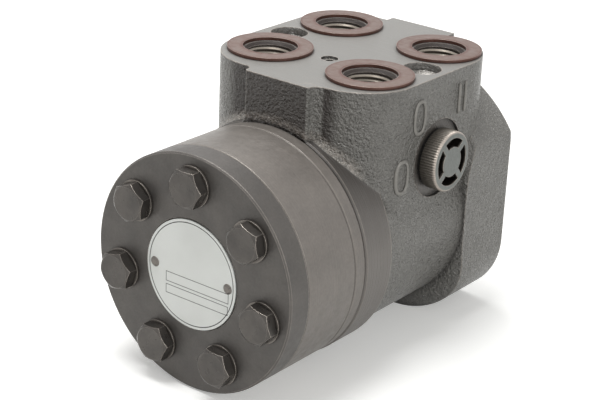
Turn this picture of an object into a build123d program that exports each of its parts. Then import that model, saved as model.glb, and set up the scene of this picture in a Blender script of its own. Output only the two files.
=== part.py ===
from build123d import *
import os
from math import atan2, atan, cos, degrees, hypot, isclose, pi, radians, sin, sqrt, tan

# Orbital steering unit. Millimetres, +Z up. The origin is the centre of the column mounting face, on the
# shaft axis. The shaft runs along Y, the gear set and its cover are towards -Y, and the ports face +Z.
# A depth is a distance back from the mounting face, so depth 100 is y = -100.

# ---------------------------------------------------------------- driving dimensions
# Stack along the shaft
housing_length = 102.3
plate_thickness = 6.5
ring_width = 28.6
cover_thickness = 10.5
stack_radius = 48.0
edge_chamfer = 0.6

# Housing casting
barrel_radius = 46.0
machined_ring_step = 0.4
machined_ring_length = 16.6
casting_chamfer = 0.8
flange_half_width = 47.0
flange_thickness = 20.0
flange_corner_radius = 30.0
flange_shoulder_radius = 56.0
flare_radius = 12.0
block_half_width = 44.0
block_top = 67.2
block_back_depth = 6.0
block_setback = 4.7
block_corner_radius = 24.0
boss_left = 14.5
boss_right = 11.5
boss_blend = 3.0
block_root_radius = 3.0
back_boss_half_width = 15.8
back_boss_depth = 1.5

# Main bore and its steps
pilot_radius = 22.0
pilot_depth = 2.5
dust_seal_radius = 18.5
dust_seal_width = 4.5
dust_seal_drop = 0.8
dust_lip_reach = 0.6
dust_lip_thickness = 1.4
web_thickness = 1.5
neck_hole_radius = 14.5
shaft_seal_seat_radius = 17.5
shaft_seal_width = 6.0
shaft_seal_wall = 1.4
shaft_ring_width = 2.0
bore_radius = 19.0
groove_radius = 24.0
groove_width = 4.0

# Ports and drillings in the block
port_half_spacing = 24.8
front_port_setback = 28.2
back_port_depth = 26.4
port_mouth_angle = 90.0
port_thread_radius = 9.32
port_mouth_radius = 10.6
port_drill_depth = 16.0
passage_radius = 2.8
back_passage_offsets = (-3.2, 5.6)
front_passage_offsets = (-3.6, 3.9)
channel_circle_radius = 31.5
channel_radius = 2.0
kidney_length = 3.5
window_setback = 9.0
window_radius = 1.8
channel_overrun = 2.5
port_washer_outer_radius = 17.45
port_washer_inner_radius = 11.1
port_washer_thickness = 1.4

# Bolts of the gear set
bolt_count = 7
bolt_circle_radius = 36.0
bolt_radius = 4.0
bolt_hole_radius = 4.25
bolt_thread_length = 14.3
bolt_drill_extra = 2.0
bolt_head_width = 14.0
bolt_head_height = 4.7
bolt_head_bevel = 1.5
bolt_head_bevel_height = 1.0
bolt_washer_radius = 8.2
bolt_washer_thickness = 1.0
first_bolt_angle = 90.0

# Column mounting holes
mounting_circle = 82.5
mounting_hole_radius = 4.25
mounting_hole_depth = 17.0

# Metering gear set
lobe_circle_radius = 32.0
lobe_radius = 7.0
eccentricity = 3.2
cavity_radius = 31.6
gear_clearance = 0.09

# Twelve-tooth spline of the rotor, the spool and the cardan shaft
spline_teeth = 12
spline_pitch_radius = 9.525
spline_minor_radius = 8.73
spline_major_radius = 10.7
spline_flank_angle = 30.0
cardan_backlash = 0.32

# Spool and sleeve set
spool_radius = 15.0
neck_radius = 14.0
spool_bore_radius = 11.0
spool_front_depth = 3.0
socket_length = 16.0
deflection_hole_radius = 6.3
pin_depth = 38.0
pin_radius = 4.0
pin_length = 36.4
metering_groove_width = 3.0
metering_groove_floor = 13.8
long_groove_lead = 1.0
long_groove_reach = 15.0
short_groove_reach = 16.0
short_groove_lead = 8.0
tank_hole_radius = 2.0
tank_hole_setback = 11.6
commutator_hole_radius = 1.5
spring_height = 6.0
spring_leaf = 0.45
spring_gap = 0.03
spring_slot_width = 5.0
spring_slot_depth = 6.8
spring_ring_radius = 18.85
spring_ring_inner_radius = 18.25

# Thrust bearing and seals
race_thickness = 1.5
race_inner_radius = 14.3
needle_radius = 1.0
needle_length = 3.0
needle_count = 12
cage_thickness = 1.2
cage_inner_radius = 14.8
cage_outer_radius = 18.6

# Cardan shaft
cardan_fork_radius = 9.0
cardan_fork_length = 15.0
cardan_neck_radius = 6.5
cardan_head_length = 13.0
spacer_radius = 8.4

# Knurled side plug and the relief valve behind it
plug_depth = 51.5
plug_height = 32.6
spot_face_radius = 16.1
spot_face_drop = 1.5
plug_thread_radius = 9.1
plug_thread_length = 9.5
plug_head_radius = 12.4
plug_head_height = 7.4
plug_ridge_count = 72
plug_ridge_height = 0.4
plug_slot_inner_radius = 7.0
plug_slot_outer_radius = 9.5
plug_slot_drop = 4.5
plug_spoke_width = 3.6
plug_spoke_angle = 40.0
plug_seal_thickness = 1.1
plug_seal_radius = 11.6
relief_bore_radius = 6.0
relief_bore_end = 5.0
relief_seat_length = 4.0
relief_seat_hole = 2.2
poppet_tip_radius = 1.2
poppet_cone_radius = 3.4
poppet_radius = 4.6
poppet_length = 6.0
poppet_pin_radius = 2.4
poppet_pin_length = 2.5
relief_spring_radius = 3.9
relief_spring_wire = 1.2
adjusting_screw_length = 4.5
adjusting_hexagon = 5.0
adjusting_hexagon_depth = 3.0
gallery_radius = 3.0
gallery_end = -36.0

# Shock valves, set screw, suction valve and non-return valve
shock_half_spacing = 33.4
shock_depth = 51.0
shock_plug_radius = 7.7
shock_plug_recess = 3.0
shock_plug_thickness = 3.0
shock_bore_radius = 3.6
shock_seat_height = 46.5
shock_ball_radius = 3.2
shock_spring_wire = 0.8
seat_hole_radius = 2.0
set_screw_setback = 6.7
set_screw_radius = 3.4
set_screw_length = 6.0
set_screw_recess = 0.8
set_screw_hexagon = 3.0
set_screw_hexagon_depth = 2.5
suction_ball_radius = 3.5
suction_ball_travel = 1.2
rolled_pin_length = 6.0
rolled_pin_gap = 0.3
rolled_pin_slit = 0.8
rolled_pin_wall = 0.9
check_chamber_radius = 5.0
check_chamber_drop = 11.2
check_ball_radius = 3.6
bush_length = 4.5
bush_bore_radius = 2.6

# Name plate
name_plate_radius = 22.1
name_plate_thickness = 0.8
name_plate_recess = 0.4
rivet_radius = 1.2
rivet_head_radius = 2.1
rivet_head_height = 0.9
rivet_spacing = 36.4
rivet_length = 5.0

# Seal rings of the gear set
seal_circle_radius = 43.2
seal_width = 2.4
seal_depth = 1.5

# Clearances
running = 0.08
close_fit = 0.05
spring_ball_clearance = 0.03
seal_end_play = 0.5

# ---------------------------------------------------------------- sizes that follow
plate_start = housing_length
ring_start = plate_start + plate_thickness
cover_start = ring_start + ring_width
cover_end = cover_start + cover_thickness
machined_ring_radius = stack_radius + machined_ring_step
flange_drop = machined_ring_radius
block_front_depth = housing_length - block_setback
front_port_depth = housing_length - front_port_setback
back_passage_depths = [back_port_depth + offset for offset in back_passage_offsets]
front_passage_depths = [front_port_depth + offset for offset in front_passage_offsets]
window_depth = front_passage_depths[0] - window_setback
channel_end_depth = window_depth - channel_overrun

web_start = pilot_depth + dust_seal_width
dust_seal_start = pilot_depth + dust_seal_drop
shaft_seal_start = web_start + web_thickness
bearing_start = shaft_seal_start + shaft_seal_width
needle_depth = bearing_start + race_thickness + close_fit + needle_radius
inner_race_start = needle_depth + needle_radius + close_fit
sleeve_start = inner_race_start + race_thickness
sleeve_end = housing_length - running
spool_end = sleeve_end - 0.6
sleeve_radius = bore_radius - running
sleeve_bore_radius = spool_radius + running
sleeve_front_radius = spring_ring_inner_radius - close_fit
spring_start = sleeve_start + 0.4
spool_shoulder = sleeve_start + 0.2

port_positions = [
    (-port_half_spacing, -front_port_depth),
    (port_half_spacing, -front_port_depth),
    (-port_half_spacing, -back_port_depth),
    (port_half_spacing, -back_port_depth),
]
port_floor = block_top - port_drill_depth
check_seat_height = port_floor - check_chamber_drop
bolt_pitch = 360 / bolt_count
bolt_end = housing_length - bolt_thread_length
bolt_hole_end = bolt_end - bolt_drill_extra
washer_face = cover_end + bolt_washer_thickness

rotor_start = ring_start + close_fit
rotor_width = ring_width - 2 * close_fit
rotor_middle = ring_start + ring_width / 2
cardan_tilt = degrees(atan2(eccentricity, rotor_middle - pin_depth))

check_valve_depth = front_passage_depths[1]
shock_plug_seat = block_top - shock_plug_recess - shock_plug_thickness
spot_face = block_half_width - spot_face_drop
plug_hole_depth = plug_thread_length + 3.0
suction_hole_radius = suction_ball_radius + 0.4
suction_ball_lift = sqrt(suction_ball_radius**2 - seat_hole_radius**2) + spring_ball_clearance
rolled_pin_end = bolt_end - rolled_pin_gap
rolled_pin_start = rolled_pin_end - rolled_pin_length
suction_ball_depth = rolled_pin_start - 2 * close_fit - suction_ball_travel - suction_ball_radius
suction_seat_depth = suction_ball_depth - suction_ball_lift
set_screw_depth = suction_seat_depth - set_screw_setback


def at_depth(depth):
    """The plane across the shaft at a depth, facing the cover: its x is +X and its y is +Z."""
    return Plane.XZ.offset(depth)


def from_side(x):
    """The plane across the plug's axis at a distance x from the middle, facing +X: its x is +Y."""
    return Plane(origin=(x, -plug_depth, plug_height), x_dir=(0, 1, 0), z_dir=(1, 0, 0))


def disc(plane, radius, height, mode=Mode.ADD):
    """A round solid that stands on a plane and rises along its normal."""
    with Locations(plane):
        Cylinder(radius, height, align=(Align.CENTER, Align.CENTER, Align.MIN), mode=mode)


def ring(plane, outer, inner, height):
    """A plain ring that stands on a plane."""
    disc(plane, outer, height)
    disc(plane, inner, height, mode=Mode.SUBTRACT)


def radial(depth, count, start_angle=0.0):
    """Places at a depth whose z points out from the shaft, evenly spaced."""
    return [Location((0, -depth, 0), (0, start_angle + 360 * k / count, 0)) for k in range(count)]


def drill_radially(places, radius, length):
    """Round holes from the shaft's axis outwards."""
    with Locations(*places):
        Cylinder(radius, length, align=(Align.CENTER, Align.CENTER, Align.MIN), mode=Mode.SUBTRACT)


def bolt_places(radius=bolt_circle_radius, offset=0.0):
    """The seven places of the bolts, or of what lies between them, on a circle."""
    return PolarLocations(radius, bolt_count, start_angle=first_bolt_angle + offset)


def spline_profile(half_width, inner, outer):
    """Twelve straight-sided spline teeth, wide at the inner radius and narrow at the outer one."""
    slope = tan(radians(spline_flank_angle))
    inner_half = half_width + (spline_pitch_radius - inner) * slope
    outer_half = half_width - (outer - spline_pitch_radius) * slope
    with PolarLocations(0, spline_teeth):
        Polygon((inner, -inner_half), (outer, -outer_half), (outer, outer_half), (inner, inner_half),
                align=None)


spline_half_width = pi * spline_pitch_radius / spline_teeth / 2


def rotor_point(turn):
    """A point of the six-lobed rotor: the inner envelope of the ring's lobes as the rotor orbits."""
    lobes = bolt_count - 1
    offset = lobe_radius + gear_clearance
    swing = atan(sin(-lobes * turn) / (lobe_circle_radius / (bolt_count * eccentricity) - cos(-lobes * turn)))
    x = lobe_circle_radius * cos(turn) - offset * cos(turn + swing) - eccentricity * cos(bolt_count * turn)
    y = -lobe_circle_radius * sin(turn) + offset * sin(turn + swing) + eccentricity * sin(bolt_count * turn)
    return x, y


def coil(plane, mean_radius, wire, length, turns):
    """A compression spring of flat wire that stands on a plane."""
    pitch = (length - wire) / turns
    with BuildPart(mode=Mode.PRIVATE) as one_coil:
        with BuildLine() as path:
            Helix(pitch, pitch * turns, mean_radius)
        with BuildSketch(Plane(origin=path.line @ 0, z_dir=path.line % 0, x_dir=(1, 0, 0))):
            Rectangle(wire, wire)
        sweep(path=path.line, is_frenet=True)
    return plane.offset(wire / 2).location * one_coil.part


# ---------------------------------------------------------------- housing and gear set
# Housing: barrel with a machined ring, rounded square flange with a flared root, and the port block.
with BuildPart() as housing:
    disc(at_depth(0), barrel_radius, housing_length)
    disc(at_depth(housing_length - machined_ring_length), machined_ring_radius, machined_ring_length)
    # Flange outline: flat foot with round corners, round shoulders about the shaft.
    outline_middle = (flange_shoulder_radius - flange_drop) / 2
    with BuildSketch(at_depth(0)) as flange_outline:
        with Locations((0, outline_middle)):
            Rectangle(2 * flange_half_width, flange_shoulder_radius + flange_drop)
        fillet(flange_outline.vertices().group_by(Axis.Z)[0], flange_corner_radius)
        Circle(flange_shoulder_radius, mode=Mode.INTERSECT)
    extrude(amount=flange_thickness)
    # Flared root: a concave turned fillet, cut off where it passes the flange's outline.
    with BuildPart(mode=Mode.PRIVATE) as flare:
        flare_end = flange_thickness + flare_radius
        with BuildSketch(Plane.XY):
            with BuildLine():
                flare_edge = (barrel_radius + flare_radius, -flange_thickness)
                Polyline((0, -flare_end), (0, -flange_thickness), flare_edge)
                RadiusArc(flare_edge, (barrel_radius, -flare_end), flare_radius)
                Line((barrel_radius, -flare_end), (0, -flare_end))
            make_face()
        revolve(axis=Axis.Y)
        with BuildSketch(at_depth(0)):
            add(flange_outline.sketch)
        extrude(amount=flare_end, mode=Mode.INTERSECT)
    add(flare.part)
    # Port block with round corners, a centre boss flush with the gear face and one near the flange face.
    block_length = block_front_depth - block_back_depth
    with BuildSketch(Plane.XY) as block_outline:
        with Locations((0, -(block_front_depth + block_back_depth) / 2)):
            Rectangle(2 * block_half_width, block_length)
        fillet(block_outline.vertices(), block_corner_radius)
        with Locations(((boss_right - boss_left) / 2, -(housing_length + shock_depth) / 2)):
            Rectangle(boss_left + boss_right, housing_length - shock_depth)
        with Locations((0, -(back_boss_depth + shock_depth) / 2)):
            Rectangle(2 * back_boss_half_width, shock_depth - back_boss_depth)
        inner_corners = block_outline.vertices().filter_by(
            lambda corner: abs(corner.Y + block_front_depth) < 0.01 and abs(corner.X) < boss_left + 0.01)
        fillet(inner_corners, boss_blend)
    extrude(amount=block_top)
    # Cast root where the front wall of the block stands on the machined ring.
    root_edges = [edge for edge in housing.edges()
                  if edge.center().Z > 0 and abs(edge.center().Y) < housing_length - edge_chamfer
                  and all(isclose(hypot(spot.X, spot.Z), machined_ring_radius, abs_tol=0.01)
                          for spot in (edge @ 0, edge @ 0.5, edge @ 1))]
    fillet(root_edges, block_root_radius)
    gear_rim = housing.edges().filter_by(GeomType.CIRCLE).group_by(Axis.Y)[0]
    chamfer(gear_rim.filter_by(lambda rim: abs(rim.radius - machined_ring_radius) < 0.01), casting_chamfer)

    # Stepped bore from the mounting face to the gear face.
    disc(at_depth(0), pilot_radius, pilot_depth, mode=Mode.SUBTRACT)
    disc(at_depth(0), dust_seal_radius, web_start, mode=Mode.SUBTRACT)
    disc(at_depth(0), neck_hole_radius, shaft_seal_start, mode=Mode.SUBTRACT)
    disc(at_depth(shaft_seal_start), shaft_seal_seat_radius, shaft_seal_width, mode=Mode.SUBTRACT)
    disc(at_depth(bearing_start), bore_radius, housing_length, mode=Mode.SUBTRACT)
    for depth in back_passage_depths + front_passage_depths:
        disc(at_depth(depth - groove_width / 2), groove_radius, groove_width, mode=Mode.SUBTRACT)

    # Four ports, each with a drilled passage down to its own groove in the bore.
    with Locations(*[(x, y, block_top) for x, y in port_positions]):
        CounterSinkHole(port_thread_radius, port_mouth_radius, port_drill_depth, port_mouth_angle)
    passages = [
        (-port_half_spacing, -back_passage_depths[0], block_top),
        (port_half_spacing, -back_passage_depths[1], block_top),
        (-port_half_spacing, -front_passage_depths[0], block_top),
        (port_half_spacing, -front_passage_depths[1], block_top),
    ]
    with Locations(*passages):
        Hole(passage_radius, block_top)
    # Chamber of the non-return valve under the right front port, with by-pass slots at its floor.
    with Locations((port_half_spacing, -check_valve_depth, port_floor)):
        Hole(check_chamber_radius, check_chamber_drop)
    with Locations((port_half_spacing, -check_valve_depth, check_seat_height)):
        Box(2 * check_chamber_radius - 1.0, 1.4, 3.0, mode=Mode.SUBTRACT)

    # Two shock valve bores with a seat each, over the cross gallery.
    with Locations(*[(side * shock_half_spacing, -shock_depth, block_top) for side in (-1, 1)]):
        CounterBoreHole(shock_bore_radius, shock_plug_radius, block_top - shock_plug_seat,
                        block_top - shock_seat_height)
        Hole(seat_hole_radius, block_top - plug_height)
    # Side plug: spot face, tapped hole, relief valve bore and the gallery beyond it.
    with Locations(from_side(block_half_width)):
        CounterBoreHole(plug_thread_radius + close_fit, spot_face_radius, spot_face_drop,
                        spot_face_drop + plug_hole_depth)
        Hole(relief_bore_radius, block_half_width - relief_bore_end)
        Hole(gallery_radius, block_half_width - gallery_end)
    # Construction drilling closed by the set screw, down to the suction valve.
    with Locations((0, -set_screw_depth, block_top)):
        CounterBoreHole(seat_hole_radius, set_screw_radius + close_fit, set_screw_recess + set_screw_length,
                        block_top - bolt_circle_radius)

    # Gear face: bolt threads, seven metering channels and the seal groove.
    with Locations(at_depth(housing_length)):
        with bolt_places():
            Hole(bolt_radius + close_fit, housing_length - bolt_hole_end)
        with bolt_places(channel_circle_radius, bolt_pitch / 2):
            Hole(channel_radius, housing_length - channel_end_depth)
        with Locations((0, bolt_circle_radius)):
            Hole(seat_hole_radius, housing_length - set_screw_depth)
            Hole(suction_hole_radius, housing_length - suction_seat_depth)
    windows = radial(window_depth, bolt_count, bolt_pitch / 2)
    drill_radially(windows, window_radius, channel_circle_radius)
    with BuildSketch(at_depth(housing_length)):
        Circle(seal_circle_radius + seal_width / 2)
        Circle(seal_circle_radius - seal_width / 2, mode=Mode.SUBTRACT)
    extrude(amount=-seal_depth, mode=Mode.SUBTRACT)

    # Column mounting holes in the flange face.
    with Locations(Plane(origin=(0, 0, 0), x_dir=(1, 0, 0), z_dir=(0, 1, 0))):
        with PolarLocations(mounting_circle / 2, 4, start_angle=45):
            Hole(mounting_hole_radius, mounting_hole_depth)
housing.part.label = "housing"

# Distributor plate: seven kidney slots carry oil from the channels to the pockets of the gear set.
with BuildPart() as distributor_plate:
    with BuildSketch(at_depth(plate_start)):
        Circle(stack_radius)
        Circle(spool_bore_radius + 1.0, mode=Mode.SUBTRACT)
        with bolt_places():
            Circle(bolt_hole_radius, mode=Mode.SUBTRACT)
        with bolt_places(channel_circle_radius - kidney_length / 2, bolt_pitch / 2):
            SlotCenterToCenter(kidney_length, 2 * channel_radius, mode=Mode.SUBTRACT)
    extrude(amount=plate_thickness)
    rims = distributor_plate.edges().filter_by(GeomType.CIRCLE)
    chamfer(rims.filter_by(lambda rim: abs(rim.radius - stack_radius) < 0.01), edge_chamfer)
distributor_plate.part.label = "distributor_plate"

# Gear ring: seven round lobes, the bolts pass through them. A seal groove in each face.
with BuildPart() as gear_ring:
    with BuildSketch(at_depth(ring_start)):
        Circle(stack_radius)
        Circle(cavity_radius, mode=Mode.SUBTRACT)
        with bolt_places(lobe_circle_radius):
            Circle(lobe_radius)
        with bolt_places():
            Circle(bolt_hole_radius, mode=Mode.SUBTRACT)
    extrude(amount=ring_width)
    for plane in (at_depth(ring_start + seal_depth), at_depth(cover_start)):
        with BuildSketch(plane):
            Circle(seal_circle_radius + seal_width / 2)
            Circle(seal_circle_radius - seal_width / 2, mode=Mode.SUBTRACT)
        extrude(amount=-seal_depth, mode=Mode.SUBTRACT)
    rims = gear_ring.edges().filter_by(GeomType.CIRCLE)
    chamfer(rims.filter_by(lambda rim: abs(rim.radius - stack_radius) < 0.01), edge_chamfer)
gear_ring.part.label = "gear_ring"

# Rotor: six lobes that stay in mesh with the ring, and the internal spline. At rest it is displaced
# towards the top lobe.
with BuildPart() as rotor:
    with BuildSketch(at_depth(rotor_start)):
        with Locations(Location((0, eccentricity), 90)):
            with BuildLine(mode=Mode.PRIVATE) as star:
                Spline([rotor_point(2 * pi * k / 96) for k in range(96)], periodic=True)
            add(make_face(star.edges(), mode=Mode.PRIVATE))
        with BuildSketch(mode=Mode.PRIVATE) as socket:
            Circle(spline_minor_radius)
            spline_profile(spline_half_width, spline_minor_radius - 0.5, spline_major_radius)
        with Locations((0, eccentricity)):
            add(socket.sketch, mode=Mode.SUBTRACT)
    extrude(amount=rotor_width)
rotor.part.label = "rotor"

# End cover with a shallow turned recess for the name plate.
with BuildPart() as end_cover:
    disc(at_depth(cover_start), stack_radius, cover_thickness)
    chamfer(end_cover.edges().group_by(Axis.Y)[0], edge_chamfer)
    with Locations(at_depth(cover_end)):
        with bolt_places():
            Hole(bolt_hole_radius)
        Hole(name_plate_radius + 0.4, name_plate_recess)
        with GridLocations(rivet_spacing, 0, 2, 1):
            Hole(rivet_radius + close_fit, name_plate_recess + rivet_length + 0.5)
end_cover.part.label = "end_cover"

# Seal rings in the three grooves.
seal_rings = {}
seal_starts = {
    "plate_seal": housing_length - seal_depth,
    "ring_seal": ring_start,
    "cover_seal": cover_start - seal_depth,
}
for name, start in seal_starts.items():
    with BuildPart() as seal_ring:
        outer = seal_circle_radius + seal_width / 2 - close_fit
        inner = seal_circle_radius - seal_width / 2 + close_fit
        ring(at_depth(start), outer, inner, seal_depth)
    seal_ring.part.label = name
    seal_rings[name] = seal_ring.part

# One hexagon bolt, standing on its washer face along +Z.
with BuildPart() as one_bolt:
    head_corner = bolt_head_width / sqrt(3)
    with BuildSketch():
        RegularPolygon(bolt_head_width / 2, 6, major_radius=False)
    extrude(amount=bolt_head_height)
    with BuildSketch(Plane.XZ):
        with BuildLine():
            Polyline((0, 0), (head_corner, 0), (head_corner, bolt_head_height - bolt_head_bevel_height),
                     (head_corner - bolt_head_bevel, bolt_head_height), (0, bolt_head_height), close=True)
        make_face()
    revolve(axis=Axis.Z, mode=Mode.INTERSECT)
    bolt_length = washer_face - housing_length + bolt_thread_length
    with Locations((0, 0, 0)):
        Cylinder(bolt_radius, bolt_length, align=(Align.CENTER, Align.CENTER, Align.MAX))
    chamfer(one_bolt.edges().group_by(Axis.Z)[0], 0.8)

# Six bolts, all but the top one, then the top bolt that closes the suction valve.
with BuildPart() as cover_bolts:
    with Locations(at_depth(washer_face)):
        with PolarLocations(bolt_circle_radius, bolt_count - 1, start_angle=first_bolt_angle + bolt_pitch,
                            angular_range=360 - bolt_pitch):
            add(one_bolt.part)
cover_bolts.part.label = "cover_bolts"

with BuildPart() as check_valve_bolt:
    with Locations(at_depth(washer_face)):
        with Locations((0, bolt_circle_radius)):
            add(one_bolt.part)
check_valve_bolt.part.label = "check_valve_bolt"

with BuildPart() as bolt_washers:
    with BuildSketch(at_depth(cover_end)):
        with bolt_places():
            Circle(bolt_washer_radius)
            Circle(bolt_hole_radius, mode=Mode.SUBTRACT)
    extrude(amount=bolt_washer_thickness)
bolt_washers.part.label = "bolt_washers"

# Name plate and its two drive rivets.
plate_face = cover_end - name_plate_recess + name_plate_thickness
with BuildPart() as name_plate:
    with BuildSketch(at_depth(cover_end - name_plate_recess)):
        Circle(name_plate_radius)
        with GridLocations(rivet_spacing, 0, 2, 1):
            Circle(rivet_radius + close_fit, mode=Mode.SUBTRACT)
    extrude(amount=name_plate_thickness)
name_plate.part.label = "name_plate"

with BuildPart() as drive_rivets:
    with Locations(at_depth(plate_face)):
        with GridLocations(rivet_spacing, 0, 2, 1):
            Cylinder(rivet_radius, rivet_length, align=(Align.CENTER, Align.CENTER, Align.MAX))
            Cone(rivet_head_radius, 0.5 * rivet_head_radius, rivet_head_height,
                 align=(Align.CENTER, Align.CENTER, Align.MIN))
drive_rivets.part.label = "drive_rivets"

# ---------------------------------------------------------------- spool, sleeve and what turns with them
# Spool: splined socket at the column end, wide holes for the cross pin, slot for the leaf springs.
with BuildPart() as spool:
    disc(at_depth(spool_shoulder), spool_radius, spool_end - spool_shoulder)
    disc(at_depth(spool_front_depth), neck_radius, spool_end - spool_front_depth)
    chamfer(spool.edges().group_by(Axis.Y)[-1], 0.8)
    socket_end = spool_front_depth + socket_length
    disc(at_depth(socket_end), spool_bore_radius, spool_end, mode=Mode.SUBTRACT)
    with BuildSketch(at_depth(spool_front_depth)):
        Circle(spline_minor_radius)
        spline_profile(spline_half_width, spline_minor_radius - 0.5, spline_major_radius)
    extrude(amount=socket_length, mode=Mode.SUBTRACT)
    with Locations((0, -pin_depth, 0)):
        Cylinder(deflection_hole_radius, 4 * spool_radius, rotation=(0, 90, 0), mode=Mode.SUBTRACT)
    with Locations((0, -(spring_start + spring_height / 2), 0)):
        Box(spring_slot_width, spring_height + 0.4, 4 * spool_radius, mode=Mode.SUBTRACT)
    # Metering grooves: six long ones back to the tank end and six short ones between them.
    long_start = channel_end_depth - long_groove_lead
    short_start = long_start - short_groove_lead
    for start_angle, groove_start, groove_reach in ((0.0, long_start, long_groove_reach),
                                                    (30.0, short_start, short_groove_reach)):
        with Locations(*radial(groove_start + groove_reach / 2, 6, start_angle)):
            with Locations((0, 0, metering_groove_floor)):
                Box(metering_groove_width, groove_reach, spool_radius,
                    align=(Align.CENTER, Align.CENTER, Align.MIN), mode=Mode.SUBTRACT)
    drill_radially(radial(spool_end - tank_hole_setback, 6), tank_hole_radius, 2 * spool_radius)
spool.part.label = "spool"

# Sleeve: close round the spool, with rows of holes that the spool's grooves open and shut.
with BuildPart() as sleeve:
    disc(at_depth(sleeve_start), sleeve_front_radius, sleeve_end - sleeve_start)
    shoulder = spring_start + spring_slot_depth
    disc(at_depth(shoulder), sleeve_radius, sleeve_end - shoulder)
    disc(at_depth(sleeve_start), sleeve_bore_radius, sleeve_end, mode=Mode.SUBTRACT)
    with Locations((0, -(sleeve_start + spring_slot_depth / 2), 0)):
        Box(spring_slot_width, spring_slot_depth, 4 * sleeve_radius, mode=Mode.SUBTRACT)
    with Locations((0, -pin_depth, 0)):
        Cylinder(pin_radius + close_fit, 4 * sleeve_radius, rotation=(0, 90, 0), mode=Mode.SUBTRACT)
    drill_radially(radial(window_depth, 12, 15.0), commutator_hole_radius, 2 * sleeve_radius)
    drill_radially(radial(front_passage_depths[0], 6), commutator_hole_radius, 2 * sleeve_radius)
    drill_radially(radial(front_passage_depths[1] + 2.0, 6, 30.0), commutator_hole_radius, 2 * sleeve_radius)
sleeve.part.label = "sleeve"

# Cross pin through sleeve, spool and cardan fork.
with BuildPart() as cross_pin:
    with Locations((0, -pin_depth, 0)):
        Cylinder(pin_radius, pin_length, rotation=(0, 90, 0))
    chamfer(cross_pin.edges().filter_by(GeomType.CIRCLE), 0.5)
cross_pin.part.label = "cross_pin"


def leaf(middle, end):
    """Adds one spring leaf, seen along the shaft: its middle and its ends are this far from the slot's."""
    reach = sleeve_front_radius - 0.4
    with BuildLine() as strip:
        if middle == end:
            Polyline((middle, -reach), (middle, reach), (middle + spring_leaf, reach),
                     (middle + spring_leaf, -reach), close=True)
        else:
            ThreePointArc((end, -reach), (middle, 0), (end, reach))
            ThreePointArc((end + spring_leaf, -reach), (middle + spring_leaf, 0), (end + spring_leaf, reach))
            Line((end, -reach), (end + spring_leaf, -reach))
            Line((end, reach), (end + spring_leaf, reach))
    make_face(strip.edges())


leaf_step = spring_leaf + spring_gap
widest = spring_slot_width / 2 - spring_leaf - spring_gap
with BuildPart() as flat_springs:
    with BuildSketch(at_depth(spring_start)):
        leaf(spring_gap / 2, spring_gap / 2)
        mirror(about=Plane.YZ)
    extrude(amount=spring_height)
flat_springs.part.label = "flat_springs"

with BuildPart() as arched_springs:
    with BuildSketch(at_depth(spring_start)):
        leaf(spring_gap / 2 + leaf_step, widest - leaf_step)
        leaf(spring_gap / 2 + 2 * leaf_step, widest)
        mirror(about=Plane.YZ)
    extrude(amount=spring_height)
arched_springs.part.label = "arched_springs"

# Ring that keeps the leaf pack in the sleeve.
with BuildPart() as spring_ring:
    ring(at_depth(spring_start), spring_ring_radius, spring_ring_inner_radius, spring_height)
spring_ring.part.label = "spring_ring"

# Thrust bearing: outer race in the housing, needles in their cage, inner race against the sleeve.
with BuildPart() as bearing_outer_race:
    ring(at_depth(bearing_start), bore_radius - close_fit, race_inner_radius, race_thickness)
bearing_outer_race.part.label = "bearing_outer_race"

with BuildPart() as bearing_inner_race:
    ring(at_depth(inner_race_start), cage_outer_radius, race_inner_radius, race_thickness)
bearing_inner_race.part.label = "bearing_inner_race"

needle_places = radial(needle_depth, needle_count)
needle_middle = (cage_inner_radius + cage_outer_radius) / 2
with BuildPart() as needle_cage:
    ring(at_depth(needle_depth - cage_thickness / 2), cage_outer_radius, cage_inner_radius, cage_thickness)
    with Locations(*needle_places):
        with Locations((0, 0, needle_middle)):
            Box(2 * needle_radius + 0.1, 4 * needle_radius, needle_length + 0.1, mode=Mode.SUBTRACT)
needle_cage.part.label = "needle_cage"

with BuildPart() as bearing_needles:
    with Locations(*needle_places):
        with Locations((0, 0, needle_middle)):
            Cylinder(needle_radius, needle_length)
bearing_needles.part.label = "bearing_needles"

# Cardan shaft: forked end on the cross pin, splined head in the rotor, tilted by the eccentricity.
tilt = radians(cardan_tilt)
cardan_plane = Plane(origin=(0, -pin_depth, 0), x_dir=(1, 0, 0), z_dir=(0, -cos(tilt), sin(tilt)))
head_middle = (rotor_middle - pin_depth) / cos(tilt)
fork_front = pin_radius + 2.5
with BuildPart() as cardan_shaft:
    disc(cardan_plane.offset(-fork_front), cardan_fork_radius, cardan_fork_length)
    disc(cardan_plane, cardan_neck_radius, head_middle)
    chamfer(cardan_shaft.edges().group_by(Axis.Y)[-1], 1.0)
    for direction in (1, -1):
        with BuildSketch(cardan_plane.offset(head_middle)):
            Circle(spline_minor_radius - cardan_backlash)
            spline_profile(spline_half_width - cardan_backlash, spline_minor_radius - 1.0,
                           spline_major_radius - cardan_backlash)
        extrude(amount=direction * cardan_head_length / 2)
    slot_bottom = pin_radius + 0.5
    with Locations(cardan_plane.offset(slot_bottom)):
        Box(4 * cardan_fork_radius, 2 * (pin_radius + 0.07), 2 * cardan_fork_length,
            align=(Align.CENTER, Align.CENTER, Align.MAX), mode=Mode.SUBTRACT)
cardan_shaft.part.label = "cardan_shaft"

# Spacer between the cardan shaft and the cover, inside the rotor's spline.
spacer_start = rotor_middle + cardan_head_length / 2 + 0.6
with BuildPart() as cardan_spacer:
    with Locations(Location((0, 0, eccentricity))):
        disc(at_depth(spacer_start), spacer_radius, cover_start - close_fit - spacer_start)
    chamfer(cardan_spacer.edges().filter_by(GeomType.CIRCLE), 0.5)
cardan_spacer.part.label = "cardan_spacer"

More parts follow.
